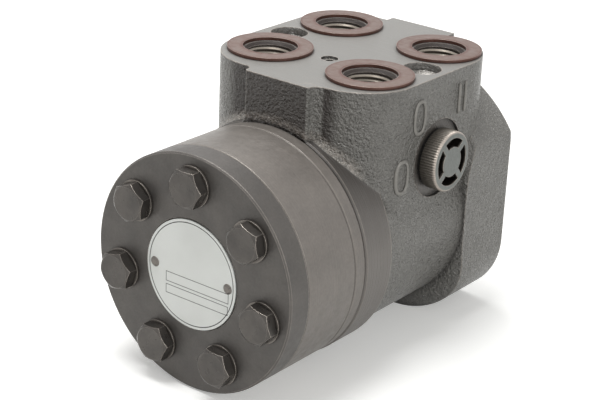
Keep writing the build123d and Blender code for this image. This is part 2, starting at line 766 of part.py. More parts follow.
# ---------------------------------------------------------------- seals at the column end
with BuildPart() as dust_seal:
    lip = neck_radius + running
    rim = dust_seal_radius - close_fit
    lip_back = lip + dust_lip_thickness
    lip_tip = dust_seal_start - dust_lip_reach
    with BuildSketch(Plane.XY):
        with BuildLine():
            Polyline((rim, -web_start), (rim, -dust_seal_start), (lip_back + 0.8, -dust_seal_start),
                     (lip, -lip_tip), (lip, -lip_tip - 1.0), (lip_back, -lip_tip - 2.8),
                     (lip_back, -web_start), close=True)
        make_face()
    revolve(axis=Axis.Y)
dust_seal.part.label = "dust_seal"

with BuildPart() as shaft_seal:
    ring(at_depth(shaft_seal_start + seal_end_play), neck_radius + running + shaft_seal_wall,
         neck_radius + running, shaft_seal_width - 2 * seal_end_play)
shaft_seal.part.label = "shaft_seal"

with BuildPart() as shaft_seal_ring:
    ring(at_depth(shaft_seal_start + (shaft_seal_width - shaft_ring_width) / 2),
         shaft_seal_seat_radius - close_fit, neck_radius + running + shaft_seal_wall + close_fit,
         shaft_ring_width)
shaft_seal_ring.part.label = "shaft_seal_ring"

# ---------------------------------------------------------------- port washers and top face pieces
with BuildPart() as port_washers:
    with BuildSketch(Plane.XY.offset(block_top)):
        with Locations(*port_positions):
            Circle(port_washer_outer_radius)
            Circle(port_washer_inner_radius, mode=Mode.SUBTRACT)
    extrude(amount=port_washer_thickness)
port_washers.part.label = "port_washers"

# Dished press plugs over the shock valves.
with BuildPart() as shock_valve_plugs:
    dish_radius = 2.2 * shock_plug_radius
    dish_drop = 1.6
    with Locations((-shock_half_spacing, -shock_depth, shock_plug_seat),
                   (shock_half_spacing, -shock_depth, shock_plug_seat)):
        Cylinder(shock_plug_radius, shock_plug_thickness, align=(Align.CENTER, Align.CENTER, Align.MIN))
        with Locations((0, 0, shock_plug_thickness + dish_radius - dish_drop)):
            Sphere(dish_radius, mode=Mode.SUBTRACT)
shock_valve_plugs.part.label = "shock_valve_plugs"

with BuildPart() as pilot_set_screw:
    with Locations((0, -set_screw_depth, block_top - set_screw_recess)):
        Cylinder(set_screw_radius, set_screw_length, align=(Align.CENTER, Align.CENTER, Align.MAX))
    with BuildSketch(Plane.XY.offset(block_top - set_screw_recess)):
        with Locations((0, -set_screw_depth)):
            RegularPolygon(set_screw_hexagon / 2, 6, major_radius=False)
    extrude(amount=-set_screw_hexagon_depth, mode=Mode.SUBTRACT)
pilot_set_screw.part.label = "pilot_set_screw"

# Shock valve balls on their seats, and the springs that hold them down.
shock_ball_lift = sqrt(shock_ball_radius**2 - seat_hole_radius**2) + spring_ball_clearance
shock_ball_height = shock_seat_height + shock_ball_lift
shock_spring_base = shock_ball_height + 0.8 * shock_ball_radius
shock_parts = {}
for side, x in (("left", -shock_half_spacing), ("right", shock_half_spacing)):
    with BuildPart() as shock_ball:
        with Locations((x, -shock_depth, shock_ball_height)):
            Sphere(shock_ball_radius)
    shock_ball.part.label = side + "_shock_ball"
    shock_parts[shock_ball.part.label] = shock_ball.part
    spring_length = shock_plug_seat - shock_spring_base
    spring_plane = Plane(origin=(x, -shock_depth, shock_spring_base))
    shock_spring = coil(spring_plane, shock_bore_radius - 0.9, shock_spring_wire, spring_length, 4)
    shock_spring.label = side + "_shock_spring"
    shock_parts[shock_spring.label] = shock_spring

# ---------------------------------------------------------------- non-return and suction valves
with BuildPart() as threaded_bush:
    with Locations((port_half_spacing, -check_valve_depth, port_floor)):
        Cylinder(check_chamber_radius - close_fit, bush_length, align=(Align.CENTER, Align.CENTER, Align.MAX))
        Hole(bush_bore_radius)
threaded_bush.part.label = "threaded_bush"

check_ball_lift = sqrt(check_ball_radius**2 - passage_radius**2) + spring_ball_clearance
with BuildPart() as check_ball:
    with Locations((port_half_spacing, -check_valve_depth, check_seat_height + check_ball_lift)):
        Sphere(check_ball_radius)
check_ball.part.label = "check_ball"

with BuildPart() as suction_ball:
    with Locations((0, -suction_ball_depth, bolt_circle_radius)):
        Sphere(suction_ball_radius)
suction_ball.part.label = "suction_ball"

with BuildPart() as rolled_pin:
    with Locations(Location((0, 0, bolt_circle_radius))):
        ring(at_depth(rolled_pin_start), suction_hole_radius - close_fit,
             suction_hole_radius - rolled_pin_wall, rolled_pin_length)
    with Locations((0, -(rolled_pin_start + rolled_pin_end) / 2, bolt_circle_radius + suction_hole_radius)):
        Box(rolled_pin_slit, 2 * rolled_pin_length, suction_hole_radius, mode=Mode.SUBTRACT)
rolled_pin.part.label = "rolled_pin"

# ---------------------------------------------------------------- side plug and relief valve
with BuildPart() as side_plug:
    head_start = spot_face + plug_seal_thickness
    with BuildSketch(from_side(head_start)):
        ridge_points = []
        for k in range(2 * plug_ridge_count):
            reach = plug_head_radius - plug_ridge_height * (k % 2)
            angle = pi * k / plug_ridge_count
            ridge_points.append((reach * cos(angle), reach * sin(angle)))
        Polygon(*ridge_points, align=None)
    extrude(amount=plug_head_height)
    disc(from_side(head_start - plug_thread_length), plug_thread_radius, plug_thread_length + 1.0)
    # Four arc slots round a plain centre disc, with a spoke between each two.
    with BuildSketch(from_side(head_start + plug_head_height)):
        Circle(plug_slot_outer_radius)
        Circle(plug_slot_inner_radius, mode=Mode.SUBTRACT)
        with PolarLocations(0, 2, start_angle=plug_spoke_angle, angular_range=180):
            Rectangle(2 * plug_head_radius, plug_spoke_width, mode=Mode.SUBTRACT)
    extrude(amount=-plug_slot_drop, mode=Mode.SUBTRACT)
side_plug.part.label = "side_plug"

with BuildPart() as plug_seal:
    ring(from_side(spot_face), plug_seal_radius, plug_thread_radius + 0.1, plug_seal_thickness - close_fit)
plug_seal.part.label = "plug_seal"

with BuildPart() as relief_seat:
    ring(from_side(relief_bore_end), relief_bore_radius - close_fit, relief_seat_hole, relief_seat_length)
relief_seat.part.label = "relief_seat"

poppet_face = relief_bore_end + relief_seat_length
poppet_shoulder = poppet_face + poppet_length
cone_length = poppet_cone_radius - poppet_tip_radius + 0.4
with BuildPart() as relief_poppet:
    with Locations(from_side(poppet_face - 1.0)):
        Cone(poppet_tip_radius, poppet_cone_radius, cone_length,
             align=(Align.CENTER, Align.CENTER, Align.MIN))
    skirt_start = poppet_face - 1.0 + cone_length
    disc(from_side(skirt_start), poppet_radius, poppet_shoulder - skirt_start)
    disc(from_side(poppet_shoulder), poppet_pin_radius, poppet_pin_length)
relief_poppet.part.label = "relief_poppet"

screw_start = spot_face - plug_hole_depth - adjusting_screw_length
relief_spring = coil(from_side(poppet_shoulder), relief_spring_radius, relief_spring_wire,
                     screw_start - poppet_shoulder, 4)
relief_spring.label = "relief_spring"

with BuildPart() as relief_adjusting_screw:
    disc(from_side(screw_start), relief_bore_radius - close_fit, adjusting_screw_length)
    with BuildSketch(from_side(screw_start + adjusting_screw_length)):
        RegularPolygon(adjusting_hexagon / 2, 6, major_radius=False)
    extrude(amount=-adjusting_hexagon_depth, mode=Mode.SUBTRACT)
relief_adjusting_screw.part.label = "relief_adjusting_screw"

# ---------------------------------------------------------------- one STEP file for each node
pieces = [
    housing, distributor_plate, gear_ring, rotor, end_cover, cover_bolts, check_valve_bolt, bolt_washers,
    name_plate, drive_rivets, spool, sleeve, cross_pin, flat_springs, arched_springs, spring_ring,
    bearing_outer_race, bearing_inner_race, needle_cage, bearing_needles, cardan_shaft, cardan_spacer,
    dust_seal, shaft_seal, shaft_seal_ring, port_washers, shock_valve_plugs, pilot_set_screw, threaded_bush,
    check_ball, suction_ball, rolled_pin, side_plug, plug_seal, relief_seat, relief_poppet,
    relief_adjusting_screw,
]
shapes = [piece.part for piece in pieces]
shapes += [*seal_rings.values(), *shock_parts.values(), relief_spring]
os.makedirs("parts", exist_ok=True)
for shape in shapes:
    export_step(shape, f"parts/{shape.label}.step")
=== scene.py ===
from math import cos, pi, radians, sin

import bmesh
import bpy
import numpy as np
from mathutils import Matrix, Vector


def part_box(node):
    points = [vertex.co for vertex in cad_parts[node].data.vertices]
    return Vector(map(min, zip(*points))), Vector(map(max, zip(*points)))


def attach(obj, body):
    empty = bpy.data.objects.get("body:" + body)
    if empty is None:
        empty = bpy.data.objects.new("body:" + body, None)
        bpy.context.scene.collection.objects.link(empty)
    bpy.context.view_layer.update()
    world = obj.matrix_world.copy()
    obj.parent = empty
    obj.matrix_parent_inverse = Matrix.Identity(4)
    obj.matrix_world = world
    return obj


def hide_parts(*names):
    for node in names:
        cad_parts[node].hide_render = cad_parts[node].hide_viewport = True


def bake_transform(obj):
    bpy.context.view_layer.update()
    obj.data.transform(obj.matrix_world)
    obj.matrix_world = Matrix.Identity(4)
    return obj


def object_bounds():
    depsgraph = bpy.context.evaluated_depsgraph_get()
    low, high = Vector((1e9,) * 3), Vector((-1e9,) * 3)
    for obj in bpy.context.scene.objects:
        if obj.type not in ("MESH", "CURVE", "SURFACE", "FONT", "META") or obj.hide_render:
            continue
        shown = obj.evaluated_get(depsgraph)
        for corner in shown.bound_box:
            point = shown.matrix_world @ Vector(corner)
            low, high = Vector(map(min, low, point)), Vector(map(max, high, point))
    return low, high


bl_info = {
    "name": "Orbital Steering Unit",
    "version": (1, 0, 0),
    "blender": (4, 5, 0),
    "location": "View3D > Sidebar > Steering Unit",
    "description": "Finishes, threads, cast marks and stage for a packed orbital steering unit",
    "category": "Object",
}

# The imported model, in metres, +Z up. The shaft runs along Y, its cover is towards -Y, the ports face +Z.
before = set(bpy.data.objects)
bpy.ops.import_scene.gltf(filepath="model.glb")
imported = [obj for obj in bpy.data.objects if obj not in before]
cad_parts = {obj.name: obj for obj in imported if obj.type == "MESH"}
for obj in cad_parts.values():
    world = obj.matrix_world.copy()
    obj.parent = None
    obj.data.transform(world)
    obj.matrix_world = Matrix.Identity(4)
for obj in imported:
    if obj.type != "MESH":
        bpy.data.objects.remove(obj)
CAD_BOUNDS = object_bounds()

MM = 0.001
HOUSING_LOW, HOUSING_HIGH = (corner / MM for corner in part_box("housing"))
WASHERS_LOW, WASHERS_HIGH = (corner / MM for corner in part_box("port_washers"))
KNOB_LOW, KNOB_HIGH = (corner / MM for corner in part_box("side_plug"))

# Sizes in millimetres that the shapes and the masks of the finishes need.
BLOCK_TOP = HOUSING_HIGH.z
GEAR_FACE = HOUSING_LOW.y
MACHINED_RING_RADIUS = 48.4
MACHINED_RING_END = GEAR_FACE + 16.6
WASHER_RADIUS = 17.45
PORTS_MIDDLE = (WASHERS_LOW.y + WASHERS_HIGH.y) / 2
PORT_HALF_X = WASHERS_HIGH.x - WASHER_RADIUS
PORT_HALF_Y = (WASHERS_HIGH.y - WASHERS_LOW.y) / 2 - WASHER_RADIUS
PORT_MOUTH_RADIUS = 10.6
PORT_DEPTH = 16.0
PLUG_Y = (KNOB_LOW.y + KNOB_HIGH.y) / 2
PLUG_Z = (KNOB_LOW.z + KNOB_HIGH.z) / 2
SPOT_FACE_RADIUS = 16.1
BLOCK_HALF_WIDTH = 44.0
BORE_REGION_RADIUS = 25.0
BLOCK_SETBACK = 4.7
BLOCK_CORNER_RADIUS = 24.0
BLOCK_FRONT = GEAR_FACE + BLOCK_SETBACK
BLOCK_BACK = -6.0
CHEEK_ROOT = 7.0
CHEEK_EDGE = 16.6
CHEEK_CORNER = 0.9
CHEEK_SWEEP = 5.4
KNOB_SEAT = 43.6
KNOB_RADIUS = 12.4
KNOB_RIDGES = 72
KNOB_RIDGE_HEIGHT = 0.4
KNOB_SLOT_INNER = 6.2
KNOB_SLOT_OUTER = 9.8
KNOB_SLOT_DROP = 4.4
KNOB_SPOKE_HALF = 1.35
KNOB_SPOKE_ANGLE = radians(40.0)
SHANK_RADIUS = 9.05
SHANK_THREAD_DEPTH = 0.6
SHANK_THREAD_PITCH = 1.5
SHOCK_HALF_X = 33.4
SHOCK_DEPTH = 51.0
SHOCK_RECESS_RADIUS = 7.9
THREAD_START = 1.4
THREAD_STOP = 2.0
COVER_SHADE_INNER = 41.0
COVER_SHADE_OUTER = 48.0

# The cast marks on the side of the block: y and z of their middles, and how far a bar stands off in widths.
MARK_RINGS = {"cast_ring_front": (-66.2, 53.0), "cast_ring_low": (-75.8, 30.8)}
MARK_BARS = {"cast_bar_left": -0.3, "cast_bar_right": 0.3}
MARK_BARS_MIDDLE = (-36.8, 54.4)
MARK_LINE_HALF = 0.9

# What is printed on the name plate: a ring, and two fields by left, right, top and bottom.
PRINT_WIDTH = 0.35
PRINT_RING_RADIUS = 20.9
PRINT_FIELDS = ((-12.4, 18.6, -2.1, -6.0), (-12.4, 18.4, -7.4, -10.9))

# Limits of the masks: the cosine of the bend at a worn edge, how much open sky an outer edge and a corner
# painted in shade see, and where most of a noise lies.
EDGE_BEND = (0.985, 0.88)
EDGE_SKY = (0.72, 0.92)
SHADED_CORNER_SKY = (0.78, 0.35)
MOTTLE_SPREAD = (0.32, 0.68)
TURNED_SPREAD = (0.3, 0.7)

# The stage, in metres and degrees. The glow of the floor grows between two distances in millimetres, and the
# camera's shift is in widths of the picture.
MIDDLE = Vector((0, -0.06, 0))
FLOOR_REACH = 6.0
GLOW_START, GLOW_END = 300.0, 1600.0
KEY_PLACE, KEY_SIZE = (-0.1, -0.2, 1.0), 0.5
RIM_PLACE, RIM_SIZE = (-0.5, 0.35, 1.0), 0.4
SIDE_PLACE, SIDE_SIZE = (1.0, -0.35, 0.35), 0.35
CAMERA_AZIMUTH = 36.1235
CAMERA_ELEVATION = 22.6705
CAMERA_ROLL = 2.9827
CAMERA_DISTANCE = 0.70482
CAMERA_SHIFT = (-0.05433, 0.01553)


def linear(code):
    """Turns an sRGB hex colour to linear red, green and blue."""
    channels = [int(code[i:i + 2], 16) / 255 for i in (1, 3, 5)]
    return tuple(c / 12.92 if c <= 0.04045 else ((c + 0.055) / 1.055) ** 2.4 for c in channels)


def colour(name, description, code):
    """A colour property with an sRGB hex default."""
    return bpy.props.FloatVectorProperty(
        name=name, description=description, default=linear(code), subtype="COLOR", size=3, min=0.0, max=1.0)


def length(name, description, default, low):
    """A length property. Its default and its least value are in millimetres."""
    return bpy.props.FloatProperty(
        name=name, description=description, default=default * MM, min=low * MM, unit="LENGTH")


class SteeringUnitFinish(bpy.types.PropertyGroup):
    """Colours of the finishes."""

    cast_side: colour("Cast side", "Shot-blasted sides of the casting", "#84827D")
    # Painted shade: the front wall is given this darker colour because it faces away from the lamps.
    cast_front_shade: colour("Cast front", "Oily front wall of the port block", "#4E4945")
    milled_top: colour("Milled top", "Milled port face and column flange", "#85837F")
    turned_band: colour("Turned band", "Outsides of the gear ring, plate and cover", "#746F6A")
    # Phosphated face, darkened further as painted shade; the same colour paints the shade towards the cover's
    # rim.
    cover_face_and_shade: colour("Cover face", "Outer face of the end cover", "#585552")
    # Worn bare steel, and also a painted highlight on the root of the housing's block.
    bare_edge_and_highlight: colour("Bare edge", "Steel rubbed bare along edges", "#BEB4AA")
    # Oil and dirt, and also painted shade: in corners, in the side plug's face slots and on the machined
    # ring's upper part.
    oil_and_shade: colour("Oil", "Oil and dirt in corners and bores", "#26221F")
    bolt: colour("Bolt", "Oxide-blacked bolts", "#4C4946")
    plate: colour("Plate", "Name plate", "#E2E4E0")
    plate_print: colour("Plate print", "Printed lines of the name plate", "#1B1B1B")
    copper: colour("Copper", "Face of the port washers", "#7B6860")
    copper_rim: colour("Copper rim", "Tarnished rim of the port washers", "#65433A")
    knob_rim: colour("Knob rim", "Knurled rim of the side plug", "#7E7971")
    knob_face: colour("Knob face", "Face of the side plug", "#747774")
    bright: colour("Bright steel", "Valve plugs, balls and bearing", "#B4B1AC")
    ground: colour("Ground steel", "Hardened and ground inner parts", "#8E9093")
    spring: colour("Spring steel", "Springs and cardan shaft", "#74777B")
    # Dark oil, darkened further as painted shade deep in the ports.
    port_wall_and_shade: colour("Port wall", "Oily walls of the ports", "#2C2420")
    crest: colour("Thread crest", "Crests of the port threads", "#8F877C")
    rubber: colour("Rubber", "Nitrile seals", "#1C1B1A")
    plastic: colour("Plastic", "PTFE rings", "#C9BFA9")


class SteeringUnitSizes(bpy.types.PropertyGroup):
    """Sizes of the threads, cast marks and worn edges."""

    thread_pitch: length("Thread pitch", "Distance from crest to crest in the ports", 1.814, 0.5)
    thread_radius: length("Thread radius", "Radius of the drilled port wall", 9.32, 1.0)
    thread_depth: length("Thread depth", "Height of the crests over the port wall", 0.55, 0.1)
    mark_height: length("Mark height", "Height of the cast marks", 13.0, 1.0)
    mark_width: length("Mark width", "Width of the cast marks", 7.0, 1.0)
    mark_relief: length("Mark relief", "How far the cast marks stand out", 0.7, 0.1)
    wear_width: length("Wear width", "Width of the worn edges", 0.5, 0.05)


class SteeringUnitStage(bpy.types.PropertyGroup):
    """Light and camera."""

    lens: bpy.props.FloatProperty(
        name="Lens", description="Focal length of the camera in millimetres", default=101.81, min=20.0)
    key_power: bpy.props.FloatProperty(
        name="Key light", description="Power of the large lamp above", default=8.0, min=0.0, unit="POWER")
    rim_power: bpy.props.FloatProperty(
        name="Rim light", description="Power of the lamp at the back", default=2.3, min=0.0, unit="POWER")
    fill_power: bpy.props.FloatProperty(
        name="Fill light", description="Power of the lamp at the right", default=2.6, min=0.0, unit="POWER")
    world_strength: bpy.props.FloatProperty(
        name="World strength", description="Strength of the soft light from all around", default=0.35,
        min=0.0, max=1.0)
    floor_glow: bpy.props.FloatProperty(
        name="Floor glow", description="How much whiter the camera sees the floor", default=0.32, min=0.0,
        max=1.0)
    floor: colour("Floor", "Pale floor", "#F7F7F5")


def add(tree, kind, inputs=None, **settings):
    """Adds a node. An input is a value, or a node or socket to link it to."""
    node = tree.nodes.new(kind)
    for name, value in settings.items():
        setattr(node, name, value)
    for name, value in (inputs or {}).items():
        socket = node.inputs[name] if isinstance(name, int) else next(
            s for s in node.inputs if s.enabled and s.name == name)
        if isinstance(value, bpy.types.Node):
            value = next(s for s in value.outputs if s.enabled)
        if isinstance(value, bpy.types.NodeSocket):
            tree.links.new(value, socket)
        else:
            socket.default_value = value
    return node


def opaque(rgb):
    """A colour property as the four numbers that a colour socket takes."""
    return (*rgb, 1.0)


class Finish:
    """A new material: its tree, shader, place in millimetres and normal, both in the object's own space."""

    def __init__(self, name, **values):
        self.material = bpy.data.materials.new(name)
        self.material.use_nodes = True
        self.tree = self.material.node_tree
        self.tree.nodes.clear()
        self.shader = add(self.tree, "ShaderNodeBsdfPrincipled")
        for socket, value in values.items():
            self.shader.inputs[socket.replace("_", " ")].default_value = value
        add(self.tree, "ShaderNodeOutputMaterial", {"Surface": self.shader})
        source = add(self.tree, "ShaderNodeTexCoord")
        self.normal = source.outputs["Normal"]
        self.place = add(self.tree, "ShaderNodeVectorMath",
                         {0: source.outputs["Object"], "Scale": 1 / MM}, operation="SCALE")

    def link(self, **sources):
        """Joins nodes to the shader's sockets."""
        for socket, source in sources.items():
            output = next(s for s in source.outputs if s.enabled)
            self.tree.links.new(output, self.shader.inputs[socket.replace("_", " ")])
        return self.material

    def region(self, *limits):
        """A mask: 1 where each value has passed its second limit, 0 where one is short of its first."""
        mask = None
        for value, start, end in limits:
            step = add(self.tree, "ShaderNodeMapRange", {"Value": value, "From Min": start, "From Max": end})
            mask = step if mask is None else add(
                self.tree, "ShaderNodeMath", {0: mask, 1: step}, operation="MULTIPLY")
        return mask

    def layers(self, base, *layers, data_type="RGBA"):
        """Lays values over a base, each where its mask is 1."""
        for mask, value in layers:
            base = add(self.tree, "ShaderNodeMix", {"Factor": mask, "A": base, "B": value},
                       data_type=data_type)
        return base

    def mottle(self, size, low, high, detail=3.0, stretch=(1, 1, 1)):
        """Uneven patches about size millimetres across, with values from low to high."""
        spread = add(self.tree, "ShaderNodeVectorMath", {0: self.place, 1: stretch}, operation="MULTIPLY")
        noise = add(self.tree, "ShaderNodeTexNoise", {"Vector": spread, "Scale": 1 / size, "Detail": detail})
        return add(self.tree, "ShaderNodeMapRange",
                   {"Value": noise, "From Min": MOTTLE_SPREAD[0], "From Max": MOTTLE_SPREAD[1],
                    "To Min": low, "To Max": high})

    def distance(self, centre, along, place=None):
        """Distance from a line through centre. along has a 0 for the line's own direction."""
        place = self.place if place is None else place
        offset = add(self.tree, "ShaderNodeVectorMath", {0: place, 1: centre}, operation="SUBTRACT")
        across = add(self.tree, "ShaderNodeVectorMath", {0: offset, 1: along}, operation="MULTIPLY")
        return add(self.tree, "ShaderNodeVectorMath", {0: across}, operation="LENGTH")

    def shaft_distance(self):
        """Distance from the shaft's axis."""
        return self.distance((0, 0, 0), (1, 0, 1))

    def port_distance(self):
        """Distance from the nearest port's axis: the four ports fold on to one."""
        fold = add(self.tree, "ShaderNodeVectorMath", {0: self.place, 1: (0, PORTS_MIDDLE, 0)},
                   operation="SUBTRACT")
        fold = add(self.tree, "ShaderNodeVectorMath", {0: fold}, operation="ABSOLUTE")
        return self.distance((PORT_HALF_X, PORT_HALF_Y, 0), (1, 1, 0), fold)

    def worn(self, width):
        """The rounded normal of the edges, and masks of the worn outer edges and of the corners painted in
        shade.
        At a worn edge the rounded normal bends away from the flat one under an open sky."""
        rounded = add(self.tree, "ShaderNodeBevel", {"Radius": width}, samples=8)
        flat = add(self.tree, "ShaderNodeNewGeometry").outputs["Normal"]
        bend = add(self.tree, "ShaderNodeVectorMath", {0: rounded, 1: flat}, operation="DOT_PRODUCT")
        open_sky = add(self.tree, "ShaderNodeAmbientOcclusion", {"Distance": 6 * width}, samples=6)
        open_sky = open_sky.outputs["AO"]
        patches = self.mottle(2.5, 0.55, 1.0)
        edges = add(self.tree, "ShaderNodeMath",
                    {0: self.region((bend, *EDGE_BEND), (open_sky, *EDGE_SKY)), 1: patches},
                    operation="MULTIPLY")
        # The last mask is painted shade: it darkens the corners that see little open sky.
        return rounded, edges, self.region((open_sky, *SHADED_CORNER_SKY))

    def turned(self, pitch, low, high):
        """Tool marks pitch apart that run round the shaft's axis, on bands and on faces alike. Real ones lie
        about 0.2 mm apart, too fine to show, so they are drawn two to four times as coarse."""
        radius = self.shaft_distance()
        depth = add(self.tree, "ShaderNodeSeparateXYZ", {"Vector": self.place}).outputs["Y"]
        travel = add(self.tree, "ShaderNodeMath", {0: radius, 1: depth}, operation="ADD")
        noise = add(self.tree, "ShaderNodeTexNoise", {"W": travel, "Scale": 1 / pitch, "Detail": 4.0},
                    noise_dimensions="1D")
        return add(self.tree, "ShaderNodeMapRange",
                   {"Value": noise, "From Min": TURNED_SPREAD[0], "From Max": TURNED_SPREAD[1],
                    "To Min": low, "To Max": high})


def dress(material, *names):
    """Gives CAD nodes a material in place of their plain one."""
    for name in names:
        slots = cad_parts[name].data.materials
        slots.clear()
        slots.append(material)


def steel(name, colours, base, width, roughness, dark="oil_and_shade", pitch=0.0, **values):
    """A machined steel: tool marks round the shaft, uneven oxide, bare edges and painted shade in the
    corners.
    base and dark name colours. The oxide's grain is drawn about 1 mm across, coarser than real, so that it
    shows."""
    base, edge, dark = (opaque(getattr(colours, key)) for key in (base, "bare_edge_and_highlight", dark))
    finish = Finish(name, **values)
    rounded, edges, corners = finish.worn(width)
    tone = finish.layers(base, (finish.mottle(9.0, 0.0, 0.08), edge), (finish.mottle(1.1, 0.0, 0.14), dark))
    rough = finish.mottle(3.0, roughness - 0.07, roughness + 0.07)
    height = finish.mottle(0.9, 0.0, 1.0)
    if pitch:
        tone = finish.layers(tone, (finish.turned(pitch, 0.0, 0.08), edge))
        height = finish.turned(pitch, 0.0, 1.0)
    tone = finish.layers(tone, (edges, edge), (corners, dark))
    relief = add(finish.tree, "ShaderNodeBump",
                 {"Height": height, "Distance": 0.03 * MM, "Strength": 0.6, "Normal": rounded})
    return finish.link(Base_Color=tone, Roughness=rough, Normal=relief)


def mesh_piece(name, points, faces, material, body="housing"):
    """A shown piece from points in metres and faces, riding on a body."""
    mesh = bpy.data.meshes.new(name)
    mesh.from_pydata(points.reshape(-1, 3).tolist(), [], faces)
    shell = bmesh.new()
    shell.from_mesh(mesh)
    bmesh.ops.remove_doubles(shell, verts=shell.verts, dist=1e-7)
    bmesh.ops.recalc_face_normals(shell, faces=shell.faces)
    shell.to_mesh(mesh)
    shell.free()
    mesh.polygons.foreach_set("use_smooth", np.ones(len(mesh.polygons), bool))
    mesh.materials.append(material)
    mesh.set_sharp_from_angle(angle=radians(38))
    piece = bpy.data.objects.new(name, mesh)
    bpy.context.scene.collection.objects.link(piece)
    if body:
        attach(piece, body)
    return piece


def flexing_copy(node, material, axis):
    """A copy of a CAD coil spring that takes the hidden CAD spring's place. The ends that would stay in the
    housing and follow the pressed piece are worked out but not used, so the copy does not shorten."""
    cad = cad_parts[node].data
    points = np.empty(3 * len(cad.vertices))
    corners = np.empty(len(cad.loops), np.int32)
    cad.vertices.foreach_get("co", points)
    cad.loops.foreach_get("vertex_index", corners)
    spring = mesh_piece("wound_" + node, points, corners.reshape(-1, 3).tolist(), material,
                        None)
    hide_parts(node)
    low, high = (np.array(corner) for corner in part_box(node))
    held, pressed = (low + high) / 2, (low + high) / 2
    held[axis], pressed[axis] = high[axis], low[axis]
    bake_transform(spring)


def carried_faces(points, closed=False):
    """Quads of a closed profile carried along a path, with caps where the path is open. Each row of points is
    the profile at one station of the path."""
    index = np.arange(points[..., 0].size).reshape(points.shape[:2])
    quads = np.stack([index, np.roll(index, -1, 1), np.roll(np.roll(index, -1, 1), -1, 0),
                      np.roll(index, -1, 0)], -1)
    quads = quads if closed else quads[:-1]
    faces = quads.reshape(-1, 4).tolist()
    return faces if closed else faces + [index[0][::-1].tolist(), index[-1].tolist()]


def thread_points(centre, radius, depth, pitch, bottom, top):
    """A triangular ridge on a right-hand helix: angle t rises by pitch a turn, the crest stands depth inside
    the wall, and the height fades to nothing over the first and last third of a turn."""
    turns = (top - bottom) / pitch
    t = np.linspace(0, 2 * pi * turns, int(56 * turns))[:, None]
    fade = np.clip(np.minimum(t, 2 * pi * turns - t) / (2 * pi / 3), 0.02, 1)
    inward = depth * np.array([-0.06, 0.55, 1, 1, 0.55, -0.06])[None] * fade
    along = np.array([-0.46, -0.22, -0.07, 0.07, 0.22, 0.46])[None] * pitch * (0.4 + 0.6 * fade)
    reach = radius - inward
    return np.stack([centre[0] + reach * np.cos(t), centre[1] + reach * np.sin(t),
                     bottom + pitch * t / (2 * pi) + along], -1)


def block_side(y):
    """How far out the side of the port block stands at y: flat, with a round corner towards either end."""
    past = np.maximum(BLOCK_FRONT + BLOCK_CORNER_RADIUS - y, y - BLOCK_BACK + BLOCK_CORNER_RADIUS)
    past = np.maximum(past, 0)
    return BLOCK_HALF_WIDTH - BLOCK_CORNER_RADIUS + np.sqrt(BLOCK_CORNER_RADIUS ** 2 - past ** 2)


def cheek_points():
    """The cast cheek at the right of the front boss, in metres. Its section, looking down, is flat in front,
    turns round a small corner and sweeps to the block's wall in a quarter ellipse. Each upright runs from the
    machined ring, z = sqrt(radius^2 - x^2), to just over the port face. Its ends sink into the block."""
    corner = np.linspace(-pi / 2, 0, 6)
    sweep = np.linspace(pi, pi / 2, 14)
    sunk = np.array([1.0, 2.0, 3.0])
    start = CHEEK_EDGE - CHEEK_CORNER
    end = CHEEK_EDGE + CHEEK_SWEEP
    over = end + sunk - (BLOCK_HALF_WIDTH - BLOCK_CORNER_RADIUS)
    wall = BLOCK_SETBACK + BLOCK_CORNER_RADIUS - np.sqrt(BLOCK_CORNER_RADIUS ** 2 - over ** 2)
    x = np.concatenate([[CHEEK_ROOT, CHEEK_ROOT + 3, start - 2], start + CHEEK_CORNER * np.cos(corner),
                        end + CHEEK_SWEEP * np.cos(sweep), end + sunk, [end + 3, CHEEK_ROOT]])
    y = GEAR_FACE + np.concatenate([[0.3, -0.03, -0.03], CHEEK_CORNER * (1 + np.sin(corner)) - 0.03,
                                    CHEEK_CORNER + (BLOCK_SETBACK + 0.1 - CHEEK_CORNER) * np.sin(sweep),
                                    wall + 0.15, [BLOCK_SETBACK + 2] * 2])
    low = np.sqrt((MACHINED_RING_RADIUS - 0.6) ** 2 - x ** 2)
    high = np.full(len(x), BLOCK_TOP + 0.015)
    high[[0, -1, -2]] = BLOCK_TOP - 0.06
    rise = np.linspace(0, 1, 9)[:, None]
    return np.stack([np.tile(x, (9, 1)), np.tile(y, (9, 1)), low + rise * (high - low)], -1) * MM


